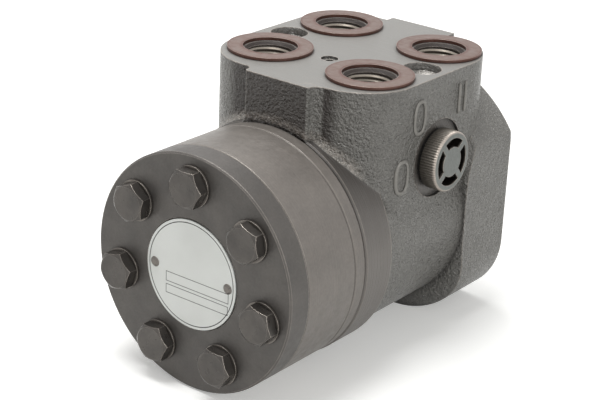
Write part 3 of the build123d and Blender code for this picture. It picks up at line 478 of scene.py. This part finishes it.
def plug_points():
    """The side plug as one surface round its axis, in metres, from the middle of its face to the end of its
    shank. On the face, x drops between two radii except within a spoke's half width of two crossed lines. On
    the rim, radius = rim - ridge * (1 - cos(ridges * t)) / 2. On the shank, radius falls from crest to root
    along x / pitch - t / (2 pi), as a triangle wave."""
    t = np.linspace(0, 2 * pi, KNOB_RIDGES * 6, endpoint=False)[None]
    face, gap = KNOB_HIGH.x, 0.04
    inner, outer = KNOB_SLOT_INNER, KNOB_SLOT_OUTER
    flat = np.array([0, 2, 4, inner - 0.3, inner - gap, inner + gap, inner + 1, inner + 2, outer - 1,
                     outer - gap, outer + gap, outer + 0.3, 11.0, 11.4])[:, None] + 0 * t
    turn = t - KNOB_SPOKE_ANGLE
    spoke = np.minimum(np.abs(flat * np.sin(turn)), np.abs(flat * np.cos(turn)))
    slot = (flat > inner) * (flat < outer) * np.clip((spoke - KNOB_SPOKE_HALF) / 0.1, 0, 1)
    ridge = KNOB_RIDGE_HEIGHT * (1 - np.cos(KNOB_RIDGES * t)) / 2
    rim = np.array([11.85, 12.2, KNOB_RADIUS, KNOB_RADIUS, KNOB_RADIUS, KNOB_RADIUS - 0.3])[:, None] \
        - np.array([0.3, 0.8, 1, 1, 1, 0.6])[:, None] * ridge
    rim_x = np.array([face - 0.12, face - 0.4, face - 0.9, (face + KNOB_SEAT) / 2, KNOB_SEAT + 0.4,
                      KNOB_SEAT])
    neck = np.array([[9.0], [SHANK_RADIUS - SHANK_THREAD_DEPTH], [SHANK_RADIUS - SHANK_THREAD_DEPTH]]) + 0 * t
    neck_x = np.array([KNOB_SEAT, KNOB_SEAT - 0.3, KNOB_SEAT - 1.2])
    shank_x = np.arange(KNOB_SEAT - 1.4, KNOB_LOW.x + 0.8, -SHANK_THREAD_PITCH / 6)[:, None]
    wave = np.abs(2 * ((shank_x / SHANK_THREAD_PITCH - t / (2 * pi)) % 1) - 1)
    shank = SHANK_RADIUS - SHANK_THREAD_DEPTH * wave
    end = np.array([[SHANK_RADIUS - SHANK_THREAD_DEPTH], [SHANK_RADIUS - 1.1], [0.0]]) + 0 * t
    end_x = np.array([KNOB_LOW.x + 0.6, KNOB_LOW.x, KNOB_LOW.x])
    radius = np.concatenate([flat, rim, neck, shank, end])
    x = np.concatenate([face - KNOB_SLOT_DROP * slot,
                        np.concatenate([rim_x, neck_x, shank_x[:, 0], end_x])[:, None] + 0 * t])
    return np.stack([x, PLUG_Y + radius * np.cos(t), PLUG_Z + radius * np.sin(t)], -1) * MM


def ridge_points(path, normals, half_width, relief, sunk):
    """A half-round ridge on the side of the block: angle a goes round the profile, half_width * cos(a) across
    the path and relief * sin(a) outwards from the block's side, sunk a little below the casting's skin."""
    a = np.linspace(-0.35, pi + 0.35, 9)
    across = half_width[:, None] * np.cos(a)[None]
    out = np.maximum(relief * np.sin(a), -sunk)[None] * (half_width / half_width.max())[:, None]
    y = path[:, :1] + normals[:, :1] * across
    return np.stack([block_side(y / MM) * MM + out, y, path[:, 1:] + normals[:, 1:] * across], -1)


def ring_path(centre, width, height, count=72):
    """A closed superellipse of power 2.6 in the plane of y and z, and its outward normals."""
    t = np.linspace(0, 2 * pi, count, endpoint=False)
    power = 2 / 2.6
    y = width / 2 * np.sign(np.cos(t)) * np.abs(np.cos(t)) ** power
    z = height / 2 * np.sign(np.sin(t)) * np.abs(np.sin(t)) ** power
    path = np.stack([y, z], -1)
    run = np.roll(path, -1, 0) - np.roll(path, 1, 0)
    normals = np.stack([run[:, 1], -run[:, 0]], -1) / np.linalg.norm(run, axis=1)[:, None]
    return path + centre, normals


def bar_path(centre, height, count=32):
    """A straight upright path in the plane of y and z, and its normals."""
    z = np.linspace(-height / 2, height / 2, count)
    path = np.stack([np.zeros(count), z], -1) + centre
    return path, np.tile([1.0, 0.0], (count, 1))


class PieceOperator:
    """What the operators share: the colours and sizes of the scene."""

    bl_options = {"REGISTER", "UNDO"}

    @staticmethod
    def groups(context):
        scene = context.scene
        return scene.steering_unit_finish, scene.steering_unit_sizes


class STEERING_OT_housing(PieceOperator, bpy.types.Operator):
    """Dress the housing as phosphated cast iron with machined faces"""

    bl_idname = "steering.housing"
    bl_label = "Housing"

    def execute(self, context):
        colours, sizes = self.groups(context)
        iron = cast_iron(colours, sizes)
        dress(iron, "housing")
        points = cheek_points()
        mesh_piece("boss_cheek", points, carried_faces(points), iron)
        return {"FINISHED"}


def cast_iron(colours, sizes):
    """Grey iron, sand cast, shot blasted and phosphated. The eye sees a matt, warm grey grain on the sides, a
    brown front wall painted darker as shade, and satin grey where the cutter has passed. Painted shade also
    darkens the oily port walls, the corners and the ring's upper part, and a painted highlight lightens the
    block's root. The grain is drawn about 1 mm across, coarser than the real one of about 0.3 mm, so that it
    shows."""
    finish = Finish("phosphated_cast_iron", Metallic=0.15)
    tree, place = finish.tree, finish.place
    x, y, z = add(tree, "ShaderNodeSeparateXYZ", {"Vector": place}).outputs
    _, along, up = add(tree, "ShaderNodeSeparateXYZ", {"Vector": finish.normal}).outputs
    radius = finish.shaft_distance()
    radial = add(tree, "ShaderNodeVectorMath", {0: place, 1: (1, 0, 1)}, operation="MULTIPLY")
    radial = add(tree, "ShaderNodeVectorMath", {0: radial}, operation="NORMALIZE")
    facing_out = add(tree, "ShaderNodeVectorMath", {0: radial, 1: finish.normal}, operation="DOT_PRODUCT")
    port = finish.port_distance()
    plug = finish.distance((0, PLUG_Y, PLUG_Z), (0, 1, 1))
    shock = add(tree, "ShaderNodeVectorMath", {0: place}, operation="ABSOLUTE")
    shock = finish.distance((SHOCK_HALF_X, SHOCK_DEPTH, 0), (1, 1, 0), shock)

    # Where the cutter has passed, and the front wall, whose darker colour is painted shade.
    milled = finish.region((z, BLOCK_TOP - 0.3, BLOCK_TOP - 0.1), (up, 0.9, 0.96))
    # Painted shade: the port walls are coloured near black for the shade deep in the ports, over their oil.
    bored = finish.region((port, PORT_MOUTH_RADIUS + 0.15, PORT_MOUTH_RADIUS + 0.05),
                          (z, BLOCK_TOP - PORT_DEPTH - 1, BLOCK_TOP - PORT_DEPTH))
    band = finish.region((radius, MACHINED_RING_RADIUS + 0.3, MACHINED_RING_RADIUS + 0.15),
                         (radius, MACHINED_RING_RADIUS - 1.5, MACHINED_RING_RADIUS - 1.2),
                         (y, MACHINED_RING_END + 0.02, MACHINED_RING_END - 0.02),
                         (facing_out, 0.6, 0.7))
    spot = finish.region((plug, SPOT_FACE_RADIUS + 0.15, SPOT_FACE_RADIUS + 0.05),
                         (x, BLOCK_HALF_WIDTH - 14, BLOCK_HALF_WIDTH - 13))
    mount = finish.region((along, 0.9, 0.96), (y, HOUSING_HIGH.y - 0.3, HOUSING_HIGH.y - 0.1))
    bore = finish.region((radius, BORE_REGION_RADIUS + 0.1, BORE_REGION_RADIUS))
    # Painted shade: the upper front wall, facing away from the lamps, takes the darker front colour.
    front = finish.region((along, -0.955, -0.995), (z, 12, 22), (y, GEAR_FACE + 18, GEAR_FACE + 10))
    recess = finish.region((shock, SHOCK_RECESS_RADIUS + 0.05, SHOCK_RECESS_RADIUS - 0.05),
                           (z, BLOCK_TOP - 4, BLOCK_TOP - 3.5), (up, 0.5, 0.3))

    rounded, edges, corners = finish.worn(2 * sizes.wear_width)
    grit = finish.layers(finish.mottle(1.5, 0.0, 1.0, detail=2.0), (0.4, finish.mottle(0.8, 0.0, 1.0)),
                         data_type="FLOAT")
    # The root of the block next to the machined ring gets a painted highlight, where its fillet catches the
    # light.
    # Painted shade darkens the ring's upper part.
    root = finish.region((radius, MACHINED_RING_RADIUS + 4.6, MACHINED_RING_RADIUS + 2.1),
                         (radius, MACHINED_RING_RADIUS + 0.2, MACHINED_RING_RADIUS + 0.4),
                         (y, GEAR_FACE + 12, GEAR_FACE + 9), (z, 5, 15))
    root = add(tree, "ShaderNodeMath", {0: root, 1: finish.mottle(1.2, 0.1, 0.6)}, operation="MULTIPLY")
    # Painted shade: the machined ring darkens towards its upper part.
    shaded = add(tree, "ShaderNodeMath", {0: finish.region((z, 5, 35)), 1: 0.75}, operation="MULTIPLY")
    tone = finish.layers(
        opaque(colours.cast_side),
        (front, opaque(colours.cast_front_shade)),
        (root, opaque(colours.bare_edge_and_highlight)),
        (finish.mottle(8.0, 0.0, 0.14), opaque(colours.oil_and_shade)),
        (finish.mottle(0.9, 0.0, 0.3, detail=2.0), opaque(colours.oil_and_shade)),
        (spot, opaque(colours.turned_band)),
        (band, finish.layers(opaque(colours.turned_band), (shaded, opaque(colours.oil_and_shade)))),
        (mount, opaque(colours.milled_top)),
        (bore, opaque(colours.ground)),
        (milled, opaque(colours.milled_top)),
        (bored, opaque(colours.port_wall_and_shade)),
        (recess, opaque(colours.milled_top)),
        (edges, opaque(colours.bare_edge_and_highlight)),
        (corners, opaque(colours.oil_and_shade)))
    rough = finish.layers(
        finish.mottle(2.5, 0.22, 0.38),
        (band, 0.42), (spot, 0.35), (mount, 0.35), (bore, 0.3), (milled, 0.42), (bored, 0.55), (edges, 0.35),
        data_type="FLOAT")
    cut = finish.layers(0.0, *((mask, 1.0) for mask in (band, spot, mount, bore, milled, bored)),
                        data_type="FLOAT")
    cut = finish.region((cut, 0.0, 1.0))
    height = finish.layers(grit, (cut, finish.turned(0.7, 0.45, 0.6)), data_type="FLOAT")
    relief = add(tree, "ShaderNodeBump",
                 {"Height": height, "Distance": 0.8 * MM, "Strength": 1.0, "Normal": rounded})
    return finish.link(Base_Color=tone, Roughness=rough, Normal=relief)


class STEERING_OT_port_threads(PieceOperator, bpy.types.Operator):
    """Add the thread crests inside the four ports"""

    bl_idname = "steering.port_threads"
    bl_label = "Port threads"

    def execute(self, context):
        colours, sizes = self.groups(context)
        thread_iron = steel("tapped_port_iron", colours, "crest", 0.15 * MM, 0.35, dark="port_wall_and_shade",
                            Metallic=0.5)
        bottom = (BLOCK_TOP - PORT_DEPTH + THREAD_START) * MM
        top = (BLOCK_TOP - THREAD_STOP) * MM
        places = {"left_front": (-1, -1), "right_front": (1, -1), "left_back": (-1, 1), "right_back": (1, 1)}
        for name, (side, end) in places.items():
            centre = (side * PORT_HALF_X * MM, (PORTS_MIDDLE + end * PORT_HALF_Y) * MM)
            points = thread_points(centre, sizes.thread_radius, sizes.thread_depth, sizes.thread_pitch,
                                   bottom, top)
            mesh_piece(f"port_thread_{name}", points, carried_faces(points), thread_iron)
        return {"FINISHED"}


class STEERING_OT_cast_marks(PieceOperator, bpy.types.Operator):
    """Raise plain cast marks on the side of the port block"""

    bl_idname = "steering.cast_marks"
    bl_label = "Cast marks"

    def execute(self, context):
        colours, sizes = self.groups(context)
        mark_iron = steel("raised_cast_iron", colours, "cast_side", 0.8 * MM, 0.5, Metallic=0.4)
        half, sunk = MARK_LINE_HALF * MM, 0.15 * MM
        width, height, relief = sizes.mark_width, sizes.mark_height, sizes.mark_relief
        for name, middle in MARK_RINGS.items():
            path, normals = ring_path(np.array(middle) * MM, width, height)
            points = ridge_points(path, normals, np.full(len(path), half), relief, sunk)
            mesh_piece(name, points, carried_faces(points, closed=True), mark_iron)
        middle_y, middle_z = MARK_BARS_MIDDLE
        for name, shift in MARK_BARS.items():
            path, normals = bar_path(np.array((middle_y + shift * width / MM, middle_z)) * MM, height)
            along = np.linspace(-1, 1, len(path))
            points = ridge_points(path, normals, half * np.sqrt(1.002 - along ** 8), relief, sunk)
            mesh_piece(name, points, carried_faces(points), mark_iron)
        return {"FINISHED"}


class STEERING_OT_gear_section(PieceOperator, bpy.types.Operator):
    """Dress the distributor plate, gear ring and end cover as turned steel"""

    bl_idname = "steering.gear_section"
    bl_label = "Gear section"

    def execute(self, context):
        colours, sizes = self.groups(context)
        dress(steel("turned_ring_steel", colours, "turned_band", sizes.wear_width, 0.42, pitch=0.5,
                    Metallic=0.35), "distributor_plate", "gear_ring")
        dress(cover_steel(colours, sizes), "end_cover")
        return {"FINISHED"}


def cover_steel(colours, sizes):
    """Turned steel with a phosphated outer face: a dark warm satin, made darker still by painted shade, which
    also darkens it towards the rim and in the corners.
    """
    finish = Finish("phosphated_cover_steel", Metallic=0.45)
    along = add(finish.tree, "ShaderNodeSeparateXYZ", {"Vector": finish.normal}).outputs["Y"]
    face = finish.region((along, -0.8, -0.95))
    rounded, edges, corners = finish.worn(sizes.wear_width)
    radius = finish.shaft_distance()
    # Painted shade: the outer face, facing away from the lamps, and the band towards the rim take the darker
    # face colour.
    tone = finish.layers(
        opaque(colours.turned_band),
        (finish.turned(0.5, 0.0, 0.08), opaque(colours.bare_edge_and_highlight)),
        (face, opaque(colours.cover_face_and_shade)),
        (finish.region((radius, COVER_SHADE_INNER, COVER_SHADE_OUTER)), opaque(colours.cover_face_and_shade)),
        (finish.mottle(11.0, 0.0, 0.06), opaque(colours.bare_edge_and_highlight)),
        (finish.mottle(1.0, 0.0, 0.14), opaque(colours.oil_and_shade)),
        (edges, opaque(colours.bare_edge_and_highlight)),
        (corners, opaque(colours.oil_and_shade)))
    rough = finish.mottle(3.0, 0.4, 0.52)
    relief = add(finish.tree, "ShaderNodeBump",
                 {"Height": finish.mottle(0.9, 0.0, 1.0), "Distance": 0.05 * MM, "Strength": 0.5,
                  "Normal": rounded})
    return finish.link(Base_Color=tone, Roughness=rough, Normal=relief)


class STEERING_OT_bolts(PieceOperator, bpy.types.Operator):
    """Dress the bolts and their washers as oxide-blacked steel"""

    bl_idname = "steering.bolts"
    bl_label = "Bolts"

    def execute(self, context):
        colours, sizes = self.groups(context)
        dress(steel("oxide_blacked_steel", colours, "bolt", 0.8 * sizes.wear_width, 0.32, Metallic=0.6),
              "cover_bolts", "check_valve_bolt")
        dress(steel("blacked_washer_steel", colours, "turned_band", 0.5 * sizes.wear_width, 0.4,
                    Metallic=0.75), "bolt_washers")
        return {"FINISHED"}


class STEERING_OT_name_plate(PieceOperator, bpy.types.Operator):
    """Dress the name plate as printed aluminium, and its rivets"""

    bl_idname = "steering.name_plate"
    bl_label = "Name plate"

    def execute(self, context):
        colours, sizes = self.groups(context)
        dress(printed_aluminium(colours), "name_plate")
        dress(steel("rivet_steel", colours, "turned_band", 0.5 * sizes.wear_width, 0.32, Metallic=0.6),
              "drive_rivets")
        return {"FINISHED"}


def printed_aluminium(colours):
    """Anodised aluminium sheet, screen printed: a silky pale grey with a fine black ring and two ruled
    fields."""
    finish = Finish("printed_aluminium", Metallic=0.35)
    tree = finish.tree
    ring = add(tree, "ShaderNodeMath", {0: finish.shaft_distance(), 1: PRINT_RING_RADIUS},
               operation="SUBTRACT")
    ring = add(tree, "ShaderNodeMath", {0: ring}, operation="ABSOLUTE")
    printed = finish.region((ring, PRINT_WIDTH / 2 + 0.05, PRINT_WIDTH / 2 - 0.05))
    for left, right, top, bottom in PRINT_FIELDS:
        middle = ((left + right) / 2, 0, (top + bottom) / 2)
        half = ((right - left) / 2, 0, (top - bottom) / 2)
        away = add(tree, "ShaderNodeVectorMath", {0: finish.place, 1: middle}, operation="SUBTRACT")
        away = add(tree, "ShaderNodeVectorMath", {0: away}, operation="ABSOLUTE")
        away = add(tree, "ShaderNodeVectorMath", {0: away, 1: half}, operation="SUBTRACT")
        sides = add(tree, "ShaderNodeSeparateXYZ", {"Vector": away}).outputs
        reach = add(tree, "ShaderNodeMath", {0: sides["X"], 1: sides["Z"]}, operation="MAXIMUM")
        reach = add(tree, "ShaderNodeMath", {0: reach}, operation="ABSOLUTE")
        field = finish.region((reach, PRINT_WIDTH / 2, PRINT_WIDTH / 2 - 0.1))
        printed = add(tree, "ShaderNodeMath", {0: printed, 1: field}, operation="MAXIMUM")
    along = add(tree, "ShaderNodeSeparateXYZ", {"Vector": finish.normal}).outputs["Y"]
    printed = add(tree, "ShaderNodeMath", {0: printed, 1: finish.region((along, -0.8, -0.95))},
                  operation="MULTIPLY")
    tone = finish.layers(opaque(colours.plate), (finish.mottle(14.0, 0.0, 0.1), opaque(colours.bright)),
                         (printed, opaque(colours.plate_print)))
    rough = finish.layers(finish.mottle(4.0, 0.34, 0.44), (printed, 0.6), data_type="FLOAT")
    relief = add(tree, "ShaderNodeBump",
                 {"Height": finish.mottle(0.5, 0.0, 1.0, stretch=(0.1, 1, 1)), "Distance": 0.01 * MM,
                  "Strength": 0.4, "Normal": add(tree, "ShaderNodeBevel", {"Radius": 0.2 * MM}, samples=6)})
    return finish.link(Base_Color=tone, Roughness=rough, Normal=relief)


class STEERING_OT_port_washers(PieceOperator, bpy.types.Operator):
    """Dress the port washers as annealed copper"""

    bl_idname = "steering.port_washers"
    bl_label = "Port washers"

    def execute(self, context):
        colours, sizes = self.groups(context)
        dress(annealed_copper(colours, sizes), "port_washers")
        return {"FINISHED"}


def annealed_copper(colours, sizes):
    """Pressed and annealed copper: a satin reddish-brown face, tarnished darker on its rims."""
    finish = Finish("annealed_copper", Metallic=0.7)
    up = add(finish.tree, "ShaderNodeSeparateXYZ", {"Vector": finish.normal}).outputs["Z"]
    port = finish.port_distance()
    rounded, edges, corners = finish.worn(0.6 * sizes.wear_width)
    tone = finish.layers(
        opaque(colours.copper_rim),
        (finish.region((up, 0.8, 0.95), (port, 11.6, 12.8), (port, 17.2, 16.4)), opaque(colours.copper)),
        (finish.mottle(6.0, 0.0, 0.3), opaque(colours.copper_rim)),
        (finish.mottle(0.9, 0.0, 0.15), opaque(colours.milled_top)),
        (edges, opaque(colours.bare_edge_and_highlight)),
        (corners, opaque(colours.oil_and_shade)))
    relief = add(finish.tree, "ShaderNodeBump",
                 {"Height": finish.mottle(0.9, 0.0, 1.0), "Distance": 0.03 * MM, "Strength": 0.6,
                  "Normal": rounded})
    return finish.link(Base_Color=tone, Roughness=finish.mottle(3.0, 0.36, 0.5), Normal=relief)


class STEERING_OT_top_plugs(PieceOperator, bpy.types.Operator):
    """Dress the shock valve plugs and the set screw as polished steel"""

    bl_idname = "steering.top_plugs"
    bl_label = "Top plugs"

    def execute(self, context):
        colours, sizes = self.groups(context)
        dress(steel("pressed_bright_steel", colours, "bright", 0.5 * sizes.wear_width, 0.24, Metallic=0.9),
              "shock_valve_plugs", "pilot_set_screw")
        return {"FINISHED"}


class STEERING_OT_side_plug(PieceOperator, bpy.types.Operator):
    """Make the knurled side plug with its face slots and threaded shank"""

    bl_idname = "steering.side_plug"
    bl_label = "Side plug"

    def execute(self, context):
        colours, sizes = self.groups(context)
        points = plug_points()
        # The surface closes by itself at both ends, so the two caps are left off.
        faces = carried_faces(points)[:-2]
        plug = mesh_piece("knurled_side_plug", points, faces, plug_steel(colours, sizes),
                          "side_plug")
        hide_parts("side_plug")
        return {"FINISHED"}


def plug_steel(colours, sizes):
    """Knurled and phosphated steel: a greenish grey face and a brown rim, rubbed bright along the ridges,
    with painted shade in the face slots and corners.
    """
    finish = Finish("knurled_plug_steel", Metallic=0.65)
    across = add(finish.tree, "ShaderNodeSeparateXYZ", {"Vector": finish.normal}).outputs["X"]
    x = add(finish.tree, "ShaderNodeSeparateXYZ", {"Vector": finish.place}).outputs["X"]
    plug = finish.distance((0, PLUG_Y, PLUG_Z), (0, 1, 1))
    rounded, edges, corners = finish.worn(0.7 * sizes.wear_width)
    tone = finish.layers(
        opaque(colours.knob_rim),
        (finish.region((across, 0.6, 0.9)), opaque(colours.knob_face)),
        (finish.region((plug, KNOB_RADIUS - 1.0, KNOB_RADIUS - 0.4),
                       (x, KNOB_HIGH.x - 1.6, KNOB_HIGH.x - 0.8)), opaque(colours.bare_edge_and_highlight)),
        # Painted shade in the deep slots of the face.
        (finish.region((plug, KNOB_SLOT_OUTER + 0.3, KNOB_SLOT_OUTER + 0.2),
                       (x, KNOB_HIGH.x - 0.3, KNOB_HIGH.x - 0.9)), opaque(colours.oil_and_shade)),
        (finish.mottle(1.0, 0.0, 0.2), opaque(colours.oil_and_shade)),
        (edges, opaque(colours.bare_edge_and_highlight)),
        (corners, opaque(colours.oil_and_shade)))
    relief = add(finish.tree, "ShaderNodeBump",
                 {"Height": finish.mottle(0.9, 0.0, 1.0), "Distance": 0.05 * MM, "Strength": 0.6,
                  "Normal": rounded})
    return finish.link(Base_Color=tone, Roughness=finish.mottle(3.0, 0.4, 0.52), Normal=relief)


class STEERING_OT_seals(PieceOperator, bpy.types.Operator):
    """Dress the seals as nitrile rubber and PTFE"""

    bl_idname = "steering.seals"
    bl_label = "Seals"

    def execute(self, context):
        colours, _ = self.groups(context)
        dress(moulded("nitrile_rubber", colours.rubber, colours.oil_and_shade, 0.62), "plate_seal",
              "ring_seal", "cover_seal", "dust_seal", "shaft_seal", "plug_seal")
        dress(moulded("turned_ptfe", colours.plastic, colours.oil_and_shade, 0.45), "shaft_seal_ring")
        return {"FINISHED"}


def moulded(name, base, dark, roughness):
    """Moulded rubber or turned PTFE: even colour with a faint bloom and a fine matt skin."""
    finish = Finish(name)
    tone = finish.layers(opaque(base), (finish.mottle(4.0, 0.0, 0.25), opaque(dark)))
    relief = add(finish.tree, "ShaderNodeBump",
                 {"Height": finish.mottle(0.5, 0.0, 1.0), "Distance": 0.03 * MM, "Strength": 0.5})
    return finish.link(Base_Color=tone, Roughness=finish.mottle(2.0, roughness - 0.08, roughness + 0.08),
                       Normal=relief)


class STEERING_OT_rotary_valve(PieceOperator, bpy.types.Operator):
    """Dress the spool, sleeve, pin, springs and thrust bearing"""

    bl_idname = "steering.rotary_valve"
    bl_label = "Rotary valve"

    def execute(self, context):
        colours, _ = self.groups(context)
        dress(steel("ground_valve_steel", colours, "ground", 0.2 * MM, 0.28, pitch=0.5, Metallic=0.95),
              "spool", "sleeve")
        dress(steel("hardened_bearing_steel", colours, "bright", 0.1 * MM, 0.22, Metallic=0.95),
              "cross_pin", "bearing_outer_race", "bearing_inner_race", "bearing_needles", "needle_cage")
        dress(steel("blued_spring_steel", colours, "spring", 0.1 * MM, 0.34, Metallic=0.9),
              "flat_springs", "arched_springs", "spring_ring")
        return {"FINISHED"}


class STEERING_OT_gear_set(PieceOperator, bpy.types.Operator):
    """Dress the rotor, cardan shaft and spacer"""

    bl_idname = "steering.gear_set"
    bl_label = "Gear set"

    def execute(self, context):
        colours, _ = self.groups(context)
        dress(steel("lapped_rotor_steel", colours, "ground", 0.2 * MM, 0.26, Metallic=0.95), "rotor")
        dress(steel("case_hardened_steel", colours, "spring", 0.3 * MM, 0.38, Metallic=0.9),
              "cardan_shaft", "cardan_spacer")
        return {"FINISHED"}


class STEERING_OT_valves(PieceOperator, bpy.types.Operator):
    """Dress the relief, shock, suction and check valves"""

    bl_idname = "steering.valves"
    bl_label = "Valves"

    def execute(self, context):
        colours, _ = self.groups(context)
        dress(steel("polished_ball_steel", colours, "bright", 0.05 * MM, 0.14, Metallic=1.0),
              "left_shock_ball", "right_shock_ball", "check_ball", "suction_ball")
        wire = steel("drawn_spring_wire", colours, "spring", 0.1 * MM, 0.34, Metallic=0.9)
        dress(wire, "rolled_pin")
        flexing_copy("left_shock_spring", wire, 2)
        flexing_copy("right_shock_spring", wire, 2)
        flexing_copy("relief_spring", wire, 0)
        dress(steel("turned_valve_steel", colours, "ground", 0.2 * MM, 0.32, pitch=0.5, Metallic=0.9),
              "threaded_bush", "relief_seat", "relief_poppet", "relief_adjusting_screw")
        return {"FINISHED"}


class STEERING_OT_stage(PieceOperator, bpy.types.Operator):
    """Lay the pale floor and place the lamps, the soft surroundings and the camera"""

    bl_idname = "steering.stage"
    bl_label = "Stage"

    def execute(self, context):
        stage = context.scene.steering_unit_stage
        context.scene.view_settings.view_transform = "Standard"
        lay_floor(stage)
        light_world(stage)
        hang_lamp("key_lamp", KEY_PLACE, KEY_SIZE, stage.key_power)
        hang_lamp("rim_lamp", RIM_PLACE, RIM_SIZE, stage.rim_power)
        hang_lamp("side_lamp", SIDE_PLACE, SIDE_SIZE, stage.fill_power)
        place_camera(stage)
        return {"FINISHED"}


def lay_floor(stage):
    """A wide pale floor just under the lowest point. The camera sees it as white, with the shadow kept."""
    finish = Finish("pale_studio_floor", Roughness=0.8)
    path = add(finish.tree, "ShaderNodeLightPath").outputs
    seen = add(finish.tree, "ShaderNodeMath", {0: path["Is Camera Ray"], 1: path["Is Glossy Ray"]},
               operation="MAXIMUM")
    tone = finish.layers((0.3, 0.3, 0.3, 1.0), (seen, opaque(stage.floor)))
    away = finish.region((finish.distance((0, 0, 0), (1, 1, 0)), GLOW_START, GLOW_END))
    glow = finish.layers(stage.floor_glow, (away, 1.0), data_type="FLOAT")
    glow = add(finish.tree, "ShaderNodeMath", {0: seen, 1: glow}, operation="MULTIPLY")
    finish.shader.inputs["Emission Color"].default_value = opaque(stage.floor)
    finish.link(Emission_Strength=glow, Base_Color=tone)
    low, reach = CAD_BOUNDS[0][2], FLOOR_REACH
    mesh = bpy.data.meshes.new("floor")
    mesh.from_pydata([(-reach, -reach, low), (reach, -reach, low), (reach, reach, low), (-reach, reach, low)],
                     [], [(0, 1, 2, 3)])
    mesh.materials.append(finish.material)
    floor = bpy.data.objects.new("floor", mesh)
    bpy.context.scene.collection.objects.link(floor)


def light_world(stage):
    """Even light from all around. What the camera and the metal see of it is white."""
    world = bpy.data.worlds.new("soft_surroundings")
    world.use_nodes = True
    tree = world.node_tree
    tree.nodes.clear()
    path = add(tree, "ShaderNodeLightPath").outputs
    seen = add(tree, "ShaderNodeMath", {0: path["Is Camera Ray"], 1: path["Is Glossy Ray"]}, operation="ADD")
    seen = add(tree, "ShaderNodeMath", {0: seen, 1: path["Is Transmission Ray"]}, operation="ADD",
               use_clamp=True)
    strength = add(tree, "ShaderNodeMapRange",
                   {"Value": seen, "To Min": stage.world_strength, "To Max": 1.0})
    surroundings = add(tree, "ShaderNodeBackground", {"Color": (1, 1, 1, 1), "Strength": strength})
    add(tree, "ShaderNodeOutputWorld", {"Surface": surroundings})
    bpy.context.scene.world = world


def hang_lamp(name, place, size, power):
    """A square soft lamp that faces the middle of the object."""
    lamp = bpy.data.lights.new(name, "AREA")
    lamp.size = size
    lamp.energy = power
    holder = bpy.data.objects.new(name, lamp)
    holder.location = place
    holder.rotation_euler = (MIDDLE - Vector(place)).to_track_quat("-Z", "Y").to_euler()
    bpy.context.scene.collection.objects.link(holder)


def place_camera(stage):
    """The camera's axes from its azimuth, elevation and roll about the middle of the object."""
    azimuth, elevation, roll = radians(CAMERA_AZIMUTH), radians(CAMERA_ELEVATION), radians(CAMERA_ROLL)
    back = Vector((sin(azimuth) * cos(elevation), -cos(azimuth) * cos(elevation), sin(elevation)))
    level = Vector((cos(azimuth), sin(azimuth), 0))
    upright = back.cross(level)
    right = level * cos(roll) + upright * sin(roll)
    up = upright * cos(roll) - level * sin(roll)
    camera = bpy.data.cameras.new("camera")
    camera.sensor_width = 36.0
    camera.sensor_fit = "HORIZONTAL"
    camera.lens = stage.lens
    camera.shift_x, camera.shift_y = CAMERA_SHIFT
    camera.clip_start, camera.clip_end = 0.01, 50.0
    holder = bpy.data.objects.new("camera", camera)
    turn = Matrix((right, up, back)).transposed().to_4x4()
    holder.matrix_world = Matrix.Translation(MIDDLE + back * CAMERA_DISTANCE) @ turn
    bpy.context.scene.collection.objects.link(holder)
    bpy.context.scene.camera = holder


GROUPS = {
    "steering_unit_finish": SteeringUnitFinish,
    "steering_unit_sizes": SteeringUnitSizes,
    "steering_unit_stage": SteeringUnitStage,
}
OPERATORS = (
    STEERING_OT_housing, STEERING_OT_port_threads, STEERING_OT_cast_marks, STEERING_OT_gear_section,
    STEERING_OT_bolts, STEERING_OT_name_plate, STEERING_OT_port_washers, STEERING_OT_top_plugs,
    STEERING_OT_side_plug, STEERING_OT_seals, STEERING_OT_rotary_valve, STEERING_OT_gear_set,
    STEERING_OT_valves, STEERING_OT_stage,
)


class STEERING_PT_panel(bpy.types.Panel):
    """Lists the pieces in the sidebar"""

    bl_idname = "STEERING_PT_panel"
    bl_label = "Steering Unit"
    bl_space_type = "VIEW_3D"
    bl_region_type = "UI"
    bl_category = "Steering Unit"

    def draw(self, context):
        for operator in OPERATORS:
            self.layout.operator(operator.bl_idname)
        for name, group in GROUPS.items():
            box = self.layout.box()
            for value in group.__annotations__:
                box.prop(getattr(context.scene, name), value)


CLASSES = (*GROUPS.values(), *OPERATORS, STEERING_PT_panel)


def register():
    for cls in CLASSES:
        bpy.utils.register_class(cls)
    for name, group in GROUPS.items():
        setattr(bpy.types.Scene, name, bpy.props.PointerProperty(type=group))


def unregister():
    for name in GROUPS:
        delattr(bpy.types.Scene, name)
    for cls in reversed(CLASSES):
        bpy.utils.unregister_class(cls)


def main():
    """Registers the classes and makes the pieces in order."""
    register()
    bpy.ops.steering.housing()
    bpy.ops.steering.port_threads()
    bpy.ops.steering.cast_marks()
    bpy.ops.steering.gear_section()
    bpy.ops.steering.bolts()
    bpy.ops.steering.name_plate()
    bpy.ops.steering.port_washers()
    bpy.ops.steering.top_plugs()
    bpy.ops.steering.side_plug()
    bpy.ops.steering.seals()
    bpy.ops.steering.rotary_valve()
    bpy.ops.steering.gear_set()
    bpy.ops.steering.valves()
    bpy.ops.steering.stage()


if __name__ == "__main__":
    main()
